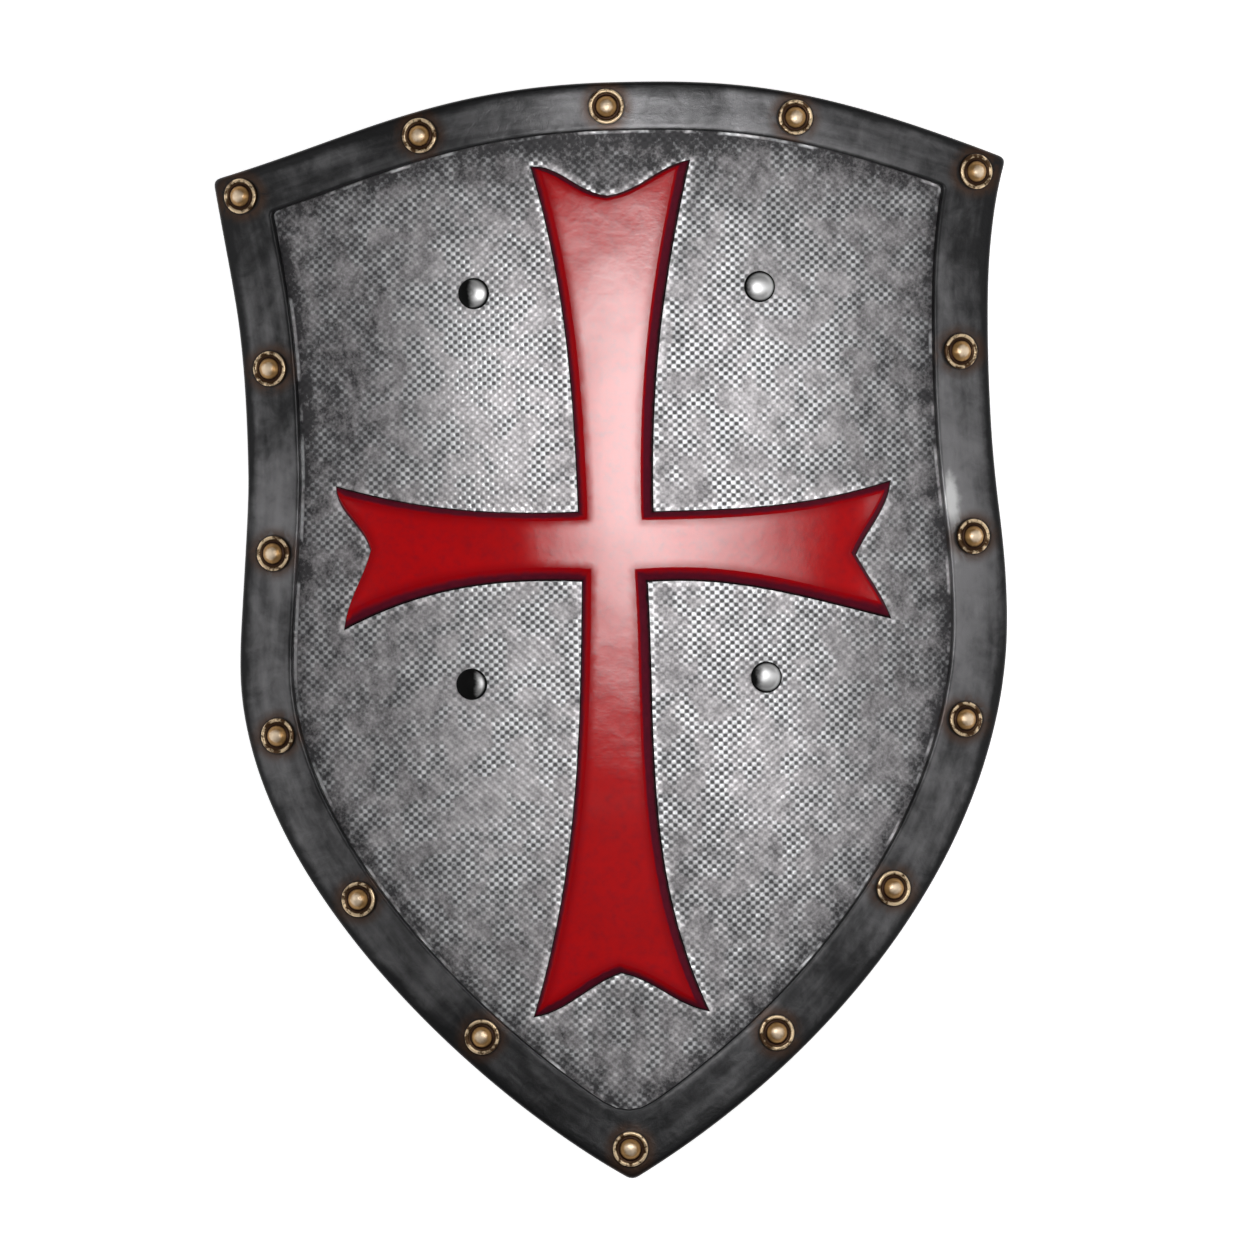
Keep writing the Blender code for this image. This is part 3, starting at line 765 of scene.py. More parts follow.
def rim_paint():
    """Satin gunmetal, smeared lighter in places, with painted highlights and painted shade in
    patches, painted shade along its edges and round the studs' feet, and brown stains round the
    studs.
    """
    paint = Paint("rim_paint")
    from_outside = paint.attribute("from_outside")
    from_inside = paint.attribute("from_inside")
    from_stud = paint.attribute("from_stud")
    clouds = paint.noise(38 * MM, 4, 0.6, (1, 1.4, 1), 0.5)
    streaks = paint.noise(7 * MM, 3, 0.5, (7, 7, 1), place=paint.attribute("along", "Vector"))
    smears = paint.noise(9 * MM, 4, 0.65, distortion=0.6)
    grain = paint.noise(0.7 * MM, 2, 0.6)

    # A base rub, with painted highlights and painted shade from the patches
    light = paint.attribute("polished")
    for pattern, reach in ((clouds, 1.4), (smears, 0.6), (streaks, 1.1)):
        light = paint.plus(light, paint.swing(pattern, reach))
    # Painted shade: the rim darkens toward its rounded outer edge and along its inner edge
    edge = paint.math("MAXIMUM", paint.step(from_outside, 7.5 * MM, 0.5 * MM),
                      paint.times(paint.step(from_inside, 2.2 * MM, 0.9 * MM), 0.6))
    light = paint.math("SUBTRACT", light, paint.times(edge, 0.7))
    cover = paint.step(light, -0.1, 1.25)
    tone = paint.mix(cover, (0.012, 0.012, 0.013, 1), (0.20, 0.197, 0.203, 1))
    # Painted highlight: where the value runs highest the rim turns near white
    tone = paint.mix(paint.step(light, 1.2, 1.9), tone, grey(0.62))
    stain = paint.times(paint.step(from_stud, 17 * MM, 9.5 * MM), paint.step(smears, 0.25, 0.55))
    tone = paint.mix(paint.times(stain, 0.85), tone, (0.060, 0.026, 0.011, 1))
    # Painted shadow: a dark ring on the rim right round each stud's foot
    tone = paint.mix(paint.step(from_stud, 11.2 * MM, 9.6 * MM), tone, (0.012, 0.009, 0.008, 1))
    return paint.finish(
        Base_Color=tone,
        Metallic=0.55,
        Roughness=paint.blend(smears, 0.46, 0.30),
        Normal=paint.bump(grain, 0.06 * MM, paint.bump(smears, 0.25 * MM)),
    )


def cross_paint():
    """Glossy red on top, airbrushed darker down the sloped sides to black at the foot, which also
    paints the side walls' shade.

    The slope is 0 on the top and 1 at the foot, and the gloss fades near the crest.
    """
    paint = Paint("cross_paint")
    slope = paint.attribute("slope")
    from_crest = paint.attribute("from_crest")
    clouds = paint.noise(40 * MM, 3, 0.5)
    swells = paint.noise(24 * MM, 1, 0.3, (1, 1.3, 1))
    mottle = paint.noise(5 * MM, 3, 0.6)
    grain = paint.noise(0.8 * MM, 2, 0.5)

    red = paint.mix(clouds, (0.45, 0.0005, 0.002, 1), (0.65, 0.0009, 0.004, 1))
    # Slopes facing right are darker: heavier airbrush paint and painted shade, as from a light at
    # the upper left
    facing = paint.parts(paint.facing)
    lee = paint.plus(facing["X"], paint.times(facing["Y"], 0.1))
    heavier_spray_and_shade = paint.times(paint.step(lee, -0.65, 0.65, -0.25, 0.25), paint.step(slope, 0.0, 0.1))
    down = paint.plus(paint.plus(slope, paint.swing(mottle, 0.5)), heavier_spray_and_shade)
    shade = paint.step(paint.plus(from_crest, paint.swing(mottle, 4 * MM)), 5.5 * MM, 0.0)
    red = paint.mix(paint.times(shade, 0.42), red, (0.14, 0.001, 0.004, 1))
    maroon = paint.mix(mottle, (0.06, 0.003, 0.012, 1), (0.15, 0.006, 0.02, 1))
    # Maroon down the slopes and black at the foot: airbrush paint and painted shade of the side
    # walls in one
    sprayed_and_shaded = paint.mix(paint.step(down, -0.1, 0.45), red, maroon)
    foot = paint.math("MAXIMUM", paint.step(down, 0.8, 1.2), paint.step(slope, 0.72, 0.95))
    sprayed_and_shaded = paint.mix(foot, sprayed_and_shaded, (0.010, 0.003, 0.005, 1))
    edge = paint.math("MAXIMUM", paint.step(slope, 0.0, 0.1),
                      paint.step(from_crest, 1.4 * MM, 0.9 * MM))
    inward = paint.plus(from_crest, paint.swing(mottle, 5 * MM))
    dull = paint.times(paint.step(inward, 6.3 * MM, 0.5 * MM),
                       paint.step(paint.parts(paint.place)["X"], 8 * MM, -14 * MM, 0.5, 0.88))
    surface = paint.bump(mottle, 0.04 * MM, paint.bump(grain, 0.006 * MM))
    surface = paint.bump(swells, 0.26 * MM, surface)
    return paint.finish(
        Base_Color=sprayed_and_shaded,
        Roughness=0.5,
        Specular_IOR_Level=0.05,
        Normal=surface,
        Coat_Weight=paint.blend(paint.math("MAXIMUM", edge, dull), 1.0, 0.0),
        Coat_Roughness=0.1,
        Coat_IOR=1.52,
        Coat_Normal=surface,
    )


def stud_paint():
    """Old brass: a warm dome with a pale top that is dry-brushed paint and a painted highlight, a
    dark groove and a rubbed raised ring.
    """
    paint = Paint("stud_paint")
    place = paint.parts(paint.place)
    flat = paint.add("ShaderNodeCombineXYZ", {"X": place["X"], "Y": place["Y"]}).outputs[0]
    radius = paint.add("ShaderNodeVectorMath", {0: flat}, operation="LENGTH").outputs["Value"]
    height = place["Z"]
    where = paint.add("ShaderNodeNewGeometry").outputs["Position"]
    wear = paint.noise(4.6 * MM, 3, 0.6, place=where)
    fine = paint.noise(0.7 * MM, 2, 0.6, place=where)

    brass = paint.mix(wear, (0.21, 0.11, 0.038, 1), (0.48, 0.28, 0.105, 1))
    lifted = paint.plus(height, paint.swing(wear, 1.2 * MM))
    # Pale top of the dome: dry-brushed paint and a painted highlight
    top = paint.step(lifted, 3.8 * MM, 4.9 * MM)
    dome = paint.mix(top, brass, (1.0, 0.80, 0.58, 1))
    low = paint.step(height, 2.5 * MM, 1.2 * MM)
    dome = paint.mix(low, dome, (0.035, 0.014, 0.006, 1))
    ridge = paint.step(height, 1.15 * MM, 1.6 * MM)
    rubbed = paint.times(ridge, paint.step(wear, 0.40, 0.55))
    ring = paint.mix(rubbed, (0.09, 0.045, 0.018, 1), (0.86, 0.66, 0.42, 1))
    on_ring = paint.step(radius, 6.6 * MM, 7.4 * MM)
    return paint.finish(
        Base_Color=paint.mix(on_ring, dome, ring),
        Metallic=0.72,
        Roughness=paint.blend(wear, 0.52, 0.38),
        Normal=paint.bump(paint.plus(wear, paint.times(fine, 0.3)), 0.25 * MM),
    )


def rivet_steel():
    """Polished nickel, a little scratched, with painted shade at the foot of the dome and over one
    side.
    """
    paint = Paint("rivet_steel")
    place = paint.parts(paint.place)
    where = paint.add("ShaderNodeNewGeometry").outputs["Position"]
    smudge = paint.noise(5 * MM, 3, 0.6, place=where)
    scratches = paint.noise(0.5 * MM, 2, 0.6, (1, 9, 1), place=where)
    # Painted shade: dark at the foot of the dome and over its left side, reaching as far as each
    # rivet's share
    side_shade = paint.times(paint.attribute("side_shade", attribute_type="OBJECT"), 2.0)
    side = paint.plus(paint.times(place["X"], 1 / RIVET_HEAD_RADIUS), paint.swing(smudge, 0.5))
    dark_side = paint.step(paint.math("SUBTRACT", side, side_shade), -0.85, -1.6)
    darkening = paint.math("MAXIMUM", paint.step(place["Z"], 4.0 * MM, 2.6 * MM), dark_side)
    tone = paint.mix(smudge, grey(0.62), grey(0.85))
    return paint.finish(
        Base_Color=paint.mix(darkening, tone, grey(0.012)),
        Metallic=1.0,
        Roughness=paint.plus(paint.blend(smudge, 0.38, 0.48), paint.times(darkening, 0.25)),
        Normal=paint.bump(scratches, 0.02 * MM),
    )


def strap_leather():
    """Dark brown leather, creased, with burnished edges."""
    paint = Paint("strap_leather")
    across = paint.attribute("across")
    grain = paint.add("ShaderNodeTexVoronoi", {"Vector": paint.place, "Scale": 1 / (1.3 * MM)},
                      feature="DISTANCE_TO_EDGE").outputs["Distance"]
    grain = paint.step(grain, 0.0, 0.16)
    clouds = paint.noise(22 * MM, 3, 0.6)
    creases = paint.noise(5 * MM, 4, 0.7, (3, 1, 1))
    edge = paint.step(across, 0.86, 0.97)
    tone = paint.mix(clouds, (0.032, 0.016, 0.009, 1), (0.085, 0.043, 0.022, 1))
    rubbed = paint.times(paint.step(creases, 0.58, 0.75), 0.5)
    tone = paint.mix(rubbed, tone, (0.15, 0.082, 0.044, 1))
    return paint.finish(
        Base_Color=paint.mix(edge, tone, (0.012, 0.007, 0.005, 1)),
        Roughness=paint.blend(edge, 0.58, 0.34),
        Normal=paint.bump(grain, 0.12 * MM, paint.bump(creases, 0.6 * MM)),
    )


def waxed_thread():
    """Waxed tan thread, twisted."""
    paint = Paint("waxed_thread")
    twist = paint.noise(0.35 * MM, 2, 0.5, (1, 0.4, 1))
    dirt = paint.noise(9 * MM, 3, 0.6)
    return paint.finish(
        Base_Color=paint.mix(dirt, (0.16, 0.10, 0.05, 1), (0.36, 0.25, 0.14, 1)),
        Roughness=0.6,
        Normal=paint.bump(twist, 0.12 * MM),
    )


# Pieces

def inside(ring, x, y):
    """Which of many plan points, given as arrays, lie inside a ring."""
    result = np.zeros(x.shape, bool)
    for a, b in zip(ring, ring[1:] + ring[:1]):
        crosses = (a.y > y) != (b.y > y)
        rise = b.y - a.y if b.y != a.y else 1.0
        result ^= crosses & (x < a.x + (y - a.y) * (b.x - a.x) / rise)
    return result


def field_cells(x, y):
    """Which cells of the weave's grid are modelled: the field, a little way under its covers."""
    under_rim = [width - FIELD_UNDER_RIM for width in RIM_WIDTHS]
    wanted = inside(closed(moved_in(SIDES, under_rim)), x, y)
    wanted &= ~inside(closed(moved_in(CROSS_SIDES, [FIELD_UNDER_CROSS] * len(CROSS_SIDES))), x, y)
    for matrix in RIVET_FRAMES.values():
        place = plan_place(matrix.translation)
        wanted &= np.hypot(x - place.x, y - place.y) > FIELD_ROUND_RIVETS
    cells = wanted[:-1, :-1] & wanted[1:, :-1] & wanted[:-1, 1:] & wanted[1:, 1:]
    while True:
        a, b = cells[:-1, :-1], cells[1:, :-1]
        c, d = cells[:-1, 1:], cells[1:, 1:]
        falling = a & d & ~b & ~c
        rising = b & c & ~a & ~d
        if not (falling.any() or rising.any()):
            return cells
        cells[:-1, :-1] &= ~falling
        cells[1:, :-1] &= ~rising


# Where the silver goes on thick or thin, with painted highlights and painted shade in the same
# patches: plan x and y, reach across and up in mm, and gain
BRUSHED_AND_LIT_PATCHES = (
    (0, 345, 150, 60, 0.26),
    (-62, 445, 42, 75, 0.74),
    (75, 445, 62, 75, 0.44),
    (-55, 235, 45, 80, 0.42),
    (75, 240, 60, 90, 0.43),
    (5, 85, 50, 35, 0.02),
    (-155, 400, 40, 120, -0.22),
    (165, 330, 35, 150, -0.15),
    (0, 560, 120, 22, -0.30),
)


def patched(patches, place):
    """How much a list of soft patches adds at a plan point."""
    amount = 0.0
    for patch_x, patch_y, reach_x, reach_y, gain in patches:
        off = ((place.x / MM - patch_x) / reach_x) ** 2 + ((place.y / MM - patch_y) / reach_y) ** 2
        amount += gain * math.exp(-off)
    return amount


def make_board(materials):
    """The board, whose front carries the weave in relief."""
    mesh = bmesh.new()
    lattice = mesh.verts.layers.float_vector.new("lattice")
    brushed_and_lit, from_rim, from_cross = layers(mesh, "brushed_and_lit", "from_rim", "from_cross")
    rim_tree = distance_tree(closed(moved_in(SIDES, RIM_WIDTHS)))
    cross_tree = distance_tree(closed(CROSS_SIDES))

    step_x, step_y = [cell / 2 for cell in WEAVE_CELL]
    reach = math.ceil(SHIELD_WIDTH / 2 / step_x) + WEAVE_SPARE_COLUMNS
    columns = np.arange(-reach, reach + 1)
    rows = np.arange(0, math.ceil(SHIELD_HEIGHT / step_y))
    along = FRONT_RADIUS * np.sin(columns * step_x / FRONT_RADIUS)
    x, y = np.meshgrid(along, rows * step_y, indexing="ij")
    cells = field_cells(x, y)

    grid = {}
    for i, j in np.argwhere(cells):
        corners = []
        for k, m in ((i, j), (i + 1, j), (i + 1, j + 1), (i, j + 1)):
            if (k, m) not in grid:
                grid[k, m] = mesh.verts.new((x[k, m], y[k, m], 0))
            corners.append(grid[k, m])
        if (columns[i] + rows[j]) % 2:
            corners = corners[1:] + corners[:1]
        mesh.faces.new(corners[:3])
        mesh.faces.new((corners[0], corners[2], corners[3]))
    field = list(mesh.faces)
    rest = [edge for edge in mesh.edges if edge.is_boundary]

    cuts = [OUTLINE_CORNER_CUT] * 3
    outer = softened(SIDES, cuts)
    low_outer = softened(moved_in(SIDES, [BOARD_BACK_ROUNDING] * 3), cuts)
    top = ring_vertices(mesh, outer, 0)
    rest += ring_edges(mesh, top)
    holes = []
    for matrix in RIVET_FRAMES.values():
        place = plan_place(matrix.translation)
        ring = []
        for k in range(RIVET_HOLE_SEGMENTS):
            ring.append(place + heading(360 * k / RIVET_HOLE_SEGMENTS) * RIVET_HOLE_RADIUS)
        hole_top = ring_vertices(mesh, ring, 0)
        rest += ring_edges(mesh, hole_top)
        holes.append((ring, hole_top))
    filled(mesh, rest)

    for (k, m), vertex in grid.items():
        pattern = math.cos(math.pi * columns[k] / 2) * math.cos(math.pi * rows[m] / 2)
        vertex[lattice] = (columns[k] / 2, rows[m] / 2, 0)
        vertex[brushed_and_lit] = patched(BRUSHED_AND_LIT_PATCHES, vertex.co)
        vertex[from_rim] = distance_to(rim_tree, vertex.co)
        vertex[from_cross] = distance_to(cross_tree, vertex.co)
        swell = 0.5 + 0.5 * noise.noise(vertex.co / WEAVE_SWELL_SIZE)
        depth = WEAVE_DEPTH * (WEAVE_SHALLOWEST + (1 - WEAVE_SHALLOWEST) * swell)
        vertex.co.z = -depth * (0.5 - 0.5 * pattern)

    low_height = BOARD_BACK_ROUNDING - BOARD_THICKNESS
    low = ring_vertices(mesh, outer, low_height)
    band(mesh, top, low)
    rounded = low
    for share in (0.5, 1.0):
        angle = share * math.pi / 2
        ring = [a.lerp(b, 1 - math.cos(angle)) for a, b in zip(outer, low_outer)]
        following = ring_vertices(mesh, ring, low_height - BOARD_BACK_ROUNDING * math.sin(angle))
        band(mesh, rounded, following)
        rounded = following
    back_edges = ring_edges(mesh, rounded)
    for ring, hole_top in holes:
        hole_low = ring_vertices(mesh, ring, -BOARD_THICKNESS)
        band(mesh, hole_top, hole_low)
        back_edges += ring_edges(mesh, hole_low)
    back = filled(mesh, back_edges)
    parted(mesh, back, BACK_STRIP_WIDTH, Vector((1, 0, 0)))

    front = set(field)
    for face in mesh.faces:
        face.material_index = 0 if face in front else 1
    bmesh.ops.recalc_face_normals(mesh, faces=mesh.faces[:])
    bend(mesh)
    faces = show("board_woven", mesh, materials, ["board"]).data.polygons
    faces.foreach_set("use_smooth", [face.material_index > 0 for face in faces])


def rim_ring(distances, cuts, counts):
    """A ring that runs inside the outline at each side's own distance."""
    runs = SIDES if max(distances) == 0 else moved_in(SIDES, distances)
    return softened([evened(run, count) for run, count in zip(runs, counts)], cuts)


def rim_profile():
    """Lines round the rim from its outer foot: share of the width, distance further in, height."""
    bottom = GLUE_GAP
    top = GLUE_GAP + RIM_THICKNESS
    profile = [(0, 0, bottom), (0, 0, top - RIM_EDGE_RADIUS)]
    for degrees in (22.5, 45, 67.5, 90):
        angle = math.radians(degrees)
        profile.append((0, RIM_EDGE_RADIUS * (1 - math.cos(angle)),
                        top - RIM_EDGE_RADIUS * (1 - math.sin(angle))))
    for line in range(1, RIM_LINES_ACROSS):
        profile.append((line / RIM_LINES_ACROSS, 0, top))
    for degrees in (90, 60, 30, 0):
        angle = math.radians(degrees)
        profile.append((1, -RIM_INNER_RADIUS * (1 - math.cos(angle)),
                        top - RIM_INNER_RADIUS * (1 - math.sin(angle))))
    profile.append((1, 0, bottom))
    return profile


# Where the rim is rubbed brighter, and where highlights and shade are painted on it, given as the
# field's patches are
SHEEN_AND_SHADE_PATCHES = (
    (-187, 365, 16, 40, 0.50),
    (184, 385, 14, 65, 0.76),
    (190, 300, 22, 55, 0.46),
    (-190, 270, 20, 40, 0.17),
    (181, 368, 5, 16, 1.30),
    (0, 583, 34, 16, 0.30),
    (85, 578, 60, 18, 0.38),
    (-205, 530, 45, 60, -0.40),
    (205, 520, 25, 50, -0.20),
    (0, 60, 160, 90, -0.22),
)


def make_rim(material):
    mesh = bmesh.new()
    names = ("from_outside", "from_inside", "from_stud", "polished")
    from_outside, from_inside, from_stud, polished = layers(mesh, *names)
    along = mesh.verts.layers.float_vector.new("along")
    counts = [len(side) for side in SIDES]
    outer_cuts = [OUTLINE_CORNER_CUT] * 3
    outside = distance_tree(rim_ring([0] * 3, outer_cuts, counts))
    inside_edge = distance_tree(rim_ring(RIM_WIDTHS, RIM_INNER_CUTS, counts))

    lines = []
    for share, further, height in rim_profile():
        distances = [share * width + further for width in RIM_WIDTHS]
        cuts = [a + (b - a) * share for a, b in zip(outer_cuts, RIM_INNER_CUTS)]
        ring = rim_ring(distances, cuts, counts)
        lines.append(ring_vertices(mesh, ring, height))
        for index, vertex in enumerate(lines[-1]):
            round_the_rim = heading(360 * index / len(ring)) * RIM_LENGTH / math.tau
            vertex[along] = (round_the_rim.x, round_the_rim.y, share * RIM_WIDTHS[0] + further)
    for first, second in zip(lines, lines[1:] + lines[:1]):
        band(mesh, first, second)

    floor = GLUE_GAP + RIM_THICKNESS / 2
    for vertex in mesh.verts:
        place = vertex.co.xy
        vertex[from_outside] = distance_to(outside, place)
        vertex[from_inside] = distance_to(inside_edge, place)
        vertex[from_stud] = min((place - stud).length for stud in STUD_PLACES)
        vertex[polished] = RIM_POLISH + patched(SHEEN_AND_SHADE_PATCHES, place)
        if vertex.co.z > floor:
            swell = 0.5 + 0.5 * noise.noise(Vector((*place, RIM_SWELL_LAYER)) / RIM_SWELL_SIZE)
            away = (vertex[from_stud] - STUD_RADIUS) / RIM_CALM_ROUND_STUDS
            vertex.co.z -= RIM_UNEVENNESS * swell * min(1.0, max(0.0, away))
    bmesh.ops.recalc_face_normals(mesh, faces=mesh.faces[:])
    bend(mesh)
    show("rim_band", mesh, [material], ["rim"], sharp=50)


def make_cross(material):
    mesh = bmesh.new()
    slope, from_crest = layers(mesh, "slope", "from_crest")
    slopes = ([CROSS_SIDE_SLOPE] + [CROSS_END_SLOPE] * 2 + [CROSS_SIDE_SLOPE]) * 4
    counts = [len(side) for side in CROSS_SIDES]

    def ring_at(further):
        runs = moved_in(CROSS_SIDES, [width + further for width in slopes])
        ring = closed([evened(run, count) for run, count in zip(runs, counts)])
        return [point + CROSS_TOP_LEAN for point in ring]

    foot = closed([evened(side, count) for side, count in zip(CROSS_SIDES, counts)])
    crest = ring_at(0)
    tree = distance_tree(crest)
    top = GLUE_GAP + CROSS_THICKNESS
    levels = [(foot, GLUE_GAP, 1.0)]
    for share in CROSS_SLOPE_LINES:
        ring = [a.lerp(b, share) for a, b in zip(foot, crest)]
        levels.append((ring, GLUE_GAP + CROSS_THICKNESS * share, 1 - share))
    for further, below in CROSS_CREST_LINES:
        levels.append((ring_at(further), top - below, 0.0))
    rings = []
    for ring, height, steepness in levels:
        vertices = ring_vertices(mesh, ring, height)
        for vertex in vertices:
            vertex[slope] = steepness
        rings.append(vertices)
    for first, second in zip(rings, rings[1:]):
        band(mesh, first, second)
    upper = filled(mesh, ring_edges(mesh, rings[-1]))
    upper = parted(mesh, upper, CROSS_STRIP_WIDTH, Vector((1, 0, 0)))
    under = filled(mesh, ring_edges(mesh, rings[0]))
    under = parted(mesh, under, 3 * CROSS_STRIP_WIDTH, Vector((1, 0, 0)))
    for vertex in mesh.verts:
        vertex[from_crest] = distance_to(tree, vertex.co)
    for vertex in {vertex for face in under for vertex in face.verts}:
        vertex[slope] = 1.0
    bmesh.ops.recalc_face_normals(mesh, faces=mesh.faces[:])
    bend(mesh)
    cross = show("cross_raised", mesh, [material], ["cross"])
    round_top(cross.data, FRONT_RADIUS + top)


def round_top(data, radius):
    """Let the flat strips of a bent top face reflect as one round surface."""
    normals = []
    for vertex in data.vertices:
        out = Vector((vertex.co.x - AXIS_X, 0, vertex.co.z - AXIS_Z))
        on_top = out.length > radius - CROSS_TOP_SLACK
        normals.append(out.normalized() if on_top else Vector())
    data.normals_split_custom_set_from_vertices(normals)


def turned(name, profile):
    """A mesh turned about Z from (radius, height) points, which start and end on the axis."""
    mesh = bmesh.new()
    rings = []
    for radius, height in profile[1:-1]:
        ring = [heading(360 * k / TURNED_SEGMENTS) * radius for k in range(TURNED_SEGMENTS)]
        rings.append(ring_vertices(mesh, ring, height))
    for upper, lower in zip(rings, rings[1:]):
        band(mesh, upper, lower)
    for ring, (radius, height) in ((rings[0], profile[0]), (rings[-1], profile[-1])):
        middle = mesh.verts.new((0, 0, height))
        for index, vertex in enumerate(ring):
            mesh.faces.new((vertex, ring[(index + 1) % len(ring)], middle))
    bmesh.ops.recalc_face_normals(mesh, faces=mesh.faces[:])
    return mesh_data(name, mesh)


def arc(middle_radius, middle_height, across, up, start, end, count):
    """Points of an elliptic arc in a profile, from start to end degrees."""
    points = []
    for k in range(count + 1):
        angle = math.radians(start + (end - start) * k / count)
        points.append((middle_radius + across * math.cos(angle),
                       middle_height + up * math.sin(angle)))
    return points


def make_studs(material):
    ring_middle = STUD_RADIUS - STUD_RING_WIDTH / 2
    profile = [(0, STUD_DOME_HEIGHT)]
    profile += arc(0, STUD_GROOVE_HEIGHT, STUD_DOME_RADIUS, STUD_DOME_HEIGHT - STUD_GROOVE_HEIGHT,
                   start=82, end=8, count=9)
    inner, outer = STUD_GROOVE_EDGES
    profile.append((STUD_DOME_RADIUS + inner, STUD_GROOVE_HEIGHT))
    profile.append((ring_middle - STUD_RING_WIDTH / 2 - outer, STUD_GROOVE_HEIGHT))
    profile += arc(ring_middle, STUD_GROOVE_HEIGHT, STUD_RING_WIDTH / 2,
                   STUD_RING_HEIGHT - STUD_GROOVE_HEIGHT, start=165, end=0, count=8)
    profile += [(STUD_RADIUS, 0), (0, 0)]
    data = turned("rim_stud_turned", profile)
    lift = Matrix.Translation((0, 0, GLUE_GAP + RIM_THICKNESS + GLUE_GAP))
    for number, place in enumerate(STUD_PLACES, 1):
        turn = Matrix.Rotation(STUD_TURN * number, 4, "Z")
        show("brass_stud_%02d" % number, data, [material], ["rim_stud_%02d" % number],
             seat(place.x, place.y) @ lift @ turn, sharp=60)


def make_rivets(material):
    head_foot = GLUE_GAP
    washer_top = -(BOARD_THICKNESS + STRAP_SEAT_GAP + STRAP_THICKNESS + GLUE_GAP)
    washer_middle = washer_top - RIVET_WASHER_HEIGHT / 2
    inset, lift = RIVET_UNDERCUT
    profile = [(0, head_foot + RIVET_HEAD_HEIGHT)]
    profile += arc(0, head_foot + RIVET_EDGE_HEIGHT, RIVET_HEAD_RADIUS,
                   RIVET_HEAD_HEIGHT - RIVET_EDGE_HEIGHT, start=84, end=0, count=14)
    profile += [
        (RIVET_HEAD_RADIUS - inset, head_foot + lift),
        (RIVET_HEAD_RADIUS - RIVET_SOFT_EDGE, head_foot),
        (RIVET_SHANK_RADIUS, head_foot),
        (RIVET_SHANK_RADIUS, washer_top),
        (RIVET_WASHER_RADIUS - RIVET_SOFT_EDGE, washer_top),
        (RIVET_WASHER_RADIUS, washer_top - RIVET_SOFT_EDGE),
        (RIVET_WASHER_RADIUS, washer_middle),
    ]
    profile += arc(0, washer_middle, RIVET_WASHER_RADIUS * RIVET_WASHER_ROUNDING,
                   RIVET_WASHER_HEIGHT / 2, start=-8, end=-82, count=7)
    profile.append((0, washer_top - RIVET_WASHER_HEIGHT))
    data = turned("strap_rivet_turned", profile)
    for node, matrix in RIVET_FRAMES.items():
        name = node.replace("strap_rivet", "nickel_rivet")
        rivet = show(name, data, [material], [node], matrix, sharp=60)
        rivet["side_shade"] = RIVET_SIDE_SHADE[node]


def strap_line(node):
    """Two points on a strap's middle line, from its lower to its upper rivet."""
    side = "left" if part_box(node)[0].x < 0 else "right"
    return [RIVET_FRAMES["strap_rivet_%s_%s" % (level, side)] for level in ("lower", "upper")]


def make_strap(node, leather, thread):
    """A strap with rounded, burnished edges, and a row of stitches along each edge on both faces."""
    lower, upper = strap_line(node)
    along = (upper.translation - lower.translation).normalized()
    outward = lower.to_3x3().col[2]
    sideways = along.cross(outward).normalized()
    half_width = STRAP_WIDTHS[node] / 2

    def aside(point):
        """A point's distance from the strap's middle line, as a share of half its width."""
        return abs((point - lower.translation).dot(sideways)) / half_width

    mesh = bmesh.new()
    mesh.from_mesh(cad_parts[node].data)
    bmesh.ops.remove_doubles(mesh, verts=mesh.verts[:], dist=STRAP_WELD)
    bmesh.ops.dissolve_limit(mesh, angle_limit=STRAP_FLAT_ANGLE, verts=mesh.verts[:],
                             edges=mesh.edges[:])
    surface = BVHTree.FromBMesh(mesh)
    edges = [edge for edge in mesh.edges
             if edge.calc_face_angle(0) > STRAP_EDGE_ANGLE
             and aside(edge.verts[0].co) > STRAP_MIDDLE_SHARE]
    bmesh.ops.bevel(mesh, geom=edges, offset=STRAP_EDGE_ROUNDING, offset_type="OFFSET", segments=3,
                    profile=0.5, affect="EDGES", clamp_overlap=True)
    across = layers(mesh, "across")[0]
    for vertex in mesh.verts:
        vertex[across] = aside(vertex.co)
    show(node + "_leather", mesh, [leather], [node], sharp=40)

    stitches = bmesh.new()
    length = (upper.translation - lower.translation).length
    reach = length / 2 + STITCH_SPACING
    middle = (lower.translation + upper.translation) / 2
    count = round(2 * reach / STITCH_SPACING)
    for side in (-1, 1):
        for face in (-1, 1):
            for index in range(count + 1):
                offset = -reach + 2 * reach * index / count
                if abs(abs(offset) - length / 2) < STITCH_RIVET_GAP:
                    continue
                start = (middle + along * offset + sideways * side * (half_width - STITCH_INSET)
                         + outward * (face * STITCH_SEARCH - STRAP_DEPTH))
                place, normal = surface.ray_cast(start, -outward * face)[:2]
                if place is not None:
                    lay_stitch(stitches, place, normal, along)
    show(node + "_stitches", stitches, [thread], [])


def lay_stitch(mesh, place, normal, along):
    """One short stitch, half sunk in the leather."""
    forward = (along - normal * along.dot(normal)).normalized()
    aside = normal.cross(forward)
    turn = Matrix((aside, forward, normal)).transposed().to_4x4()
    size = Matrix.Diagonal((STITCH_THICKNESS / 2, STITCH_LENGTH / 2, STITCH_THICKNESS / 2, 1))
    bmesh.ops.create_icosphere(mesh, subdivisions=2, radius=1,
                               matrix=Matrix.Translation(place) @ turn @ size)


# Stage

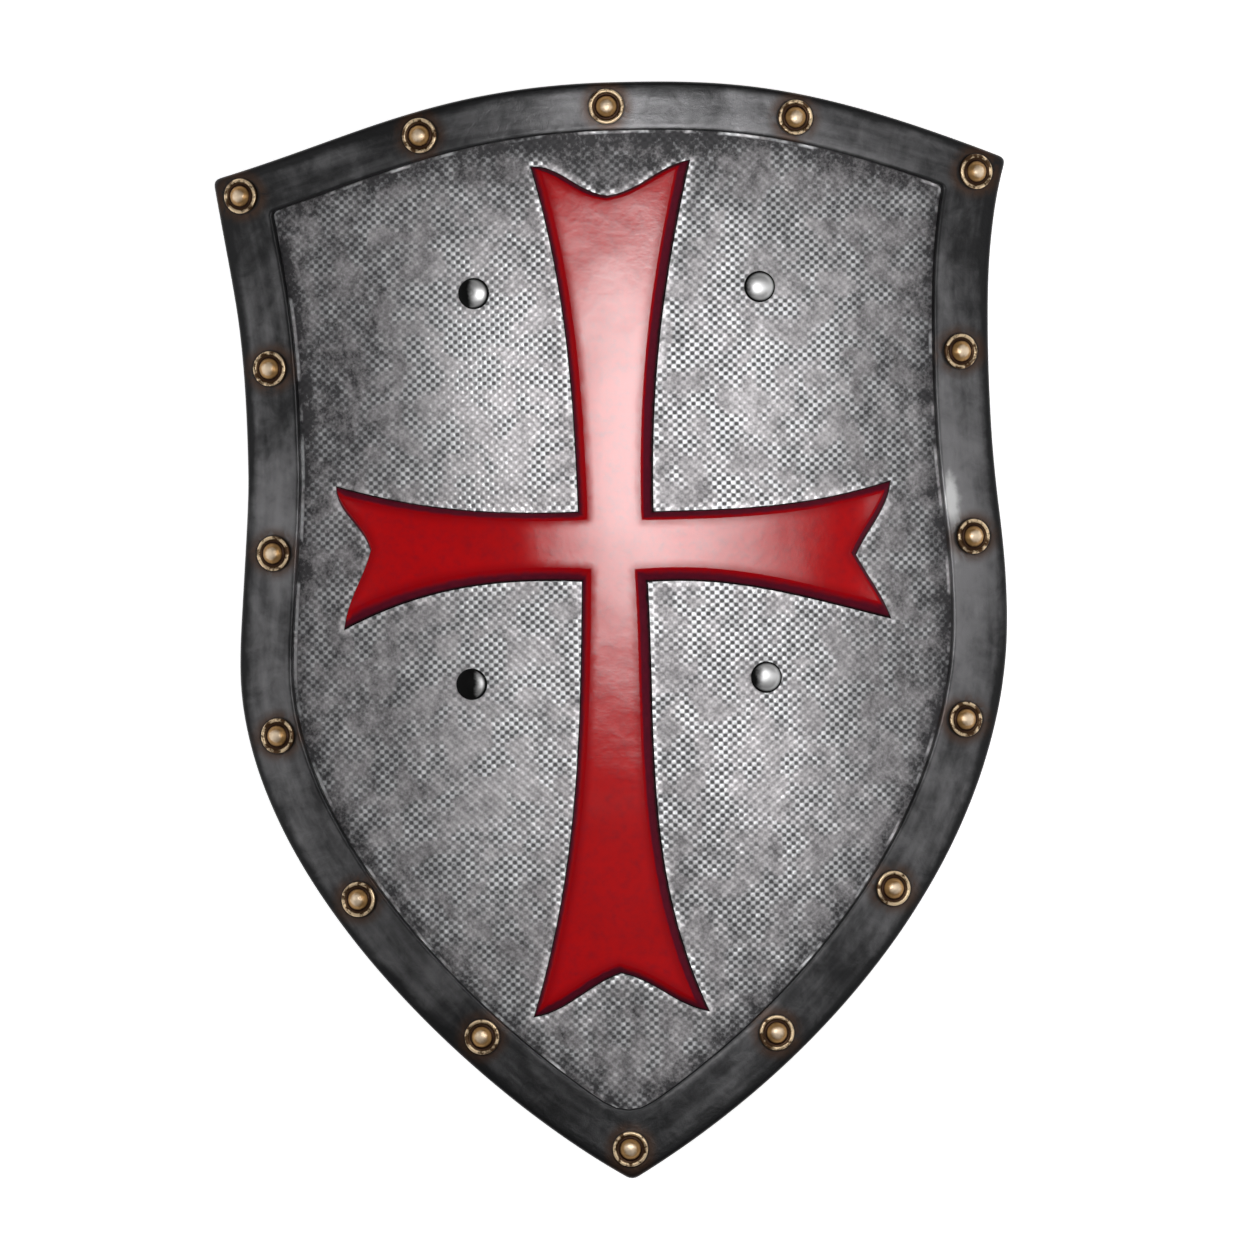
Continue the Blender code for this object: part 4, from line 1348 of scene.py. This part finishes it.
def make_floor():
    mesh = bmesh.new()
    bmesh.ops.create_grid(mesh, x_segments=2, y_segments=2, size=FLOOR_SIZE / 2)
    floor = placed("floor", mesh_data("floor", mesh))
    floor.location = (0, 0, -FLOOR_DROP)
    floor.data.materials.append(Paint("pale_floor").finish(
        Base_Color=grey(0.85), Roughness=0.9, Emission_Color=grey(1), Emission_Strength=0.9))


def add_light(name, place, target, width, height, power):
    data = bpy.data.lights.new(name, "AREA")
    data.shape = "RECTANGLE"
    data.size = width
    data.size_y = height
    data.energy = power
    light = placed(name, data)
    light.location = place
    light.rotation_mode = "QUATERNION"
    light.rotation_quaternion = (Vector(target) - Vector(place)).to_track_quat("-Z", "Y")
    light.visible_camera = False
    return light


def fade_light(light, across, up):
    """Let an area light's brightness rise and fall over its two sides.

    Each side has four shares of its length: where the light starts, is full, starts to fade and
    ends.
    """
    nodes = Nodes(light.data)
    place = nodes.parts(nodes.add("ShaderNodeNewGeometry").outputs["Parametric"])
    strength = 1.0
    for axis, (start, full, fading, end) in (("X", across), ("Y", up)):
        strength = nodes.times(strength, nodes.step(place[axis], start, full))
        strength = nodes.times(strength, nodes.step(place[axis], end, fading))
    nodes.set("Emission", Strength=strength)


def make_lights():
    """A soft box above to the right, a panel at each side, and a surround pale low down."""
    fade_light(add_light("soft_box", *SOFT_BOX), BOX_ACROSS, BOX_UP)
    add_light("left_panel", *LEFT_PANEL)
    add_light("right_panel", *RIGHT_PANEL)
    world = bpy.data.worlds.new("pale_surround")
    bpy.context.scene.world = world
    nodes = Nodes(world)
    up = nodes.parts(nodes.add("ShaderNodeTexCoord").outputs["Generated"])["Z"]
    strength = nodes.step(up, WALL_TOP, CEILING_START, WALL_BRIGHTNESS, CEILING_BRIGHTNESS)
    nodes.set("Background", Strength=strength, Color=grey(1))


def make_camera():
    """Straight above, turned and placed so that the shield falls where the photograph has it."""
    right = Vector((math.cos(PHOTO_ROLL), -math.sin(PHOTO_ROLL)))
    up = Vector((math.sin(PHOTO_ROLL), math.cos(PHOTO_ROLL)))
    from_tip = (Vector((PHOTO_SIDE / 2, PHOTO_SIDE / 2)) - PHOTO_TIP) * PHOTO_PIXEL
    tip = bent(outline_point(TIP).x, 0, 0)
    middle = Vector((tip.x, tip.y)) + right * from_tip.x - up * from_tip.y
    width = PHOTO_SIDE * PHOTO_PIXEL
    distance = width / CAMERA_SENSOR * CAMERA_LENS
    data = bpy.data.cameras.new("camera")
    data.lens = CAMERA_LENS
    data.sensor_width = CAMERA_SENSOR
    data.clip_start = 0.1
    data.clip_end = 100
    camera = placed("camera", data)
    camera.location = (middle.x, middle.y, CAMERA_REFERENCE_HEIGHT + distance)
    camera.rotation_euler = (0, 0, -PHOTO_ROLL)
    bpy.context.scene.camera = camera
    bpy.context.scene.view_settings.view_transform = "Standard"


def main():
    make_camera()
    make_floor()
    make_lights()
    make_board([field_paint(), bare_foam()])
    make_rim(rim_paint())
    make_cross(cross_paint())
    make_studs(stud_paint())
    make_rivets(rivet_steel())
    leather = strap_leather()
    thread = waxed_thread()
    for node in STRAP_WIDTHS:
        make_strap(node, leather, thread)


main()
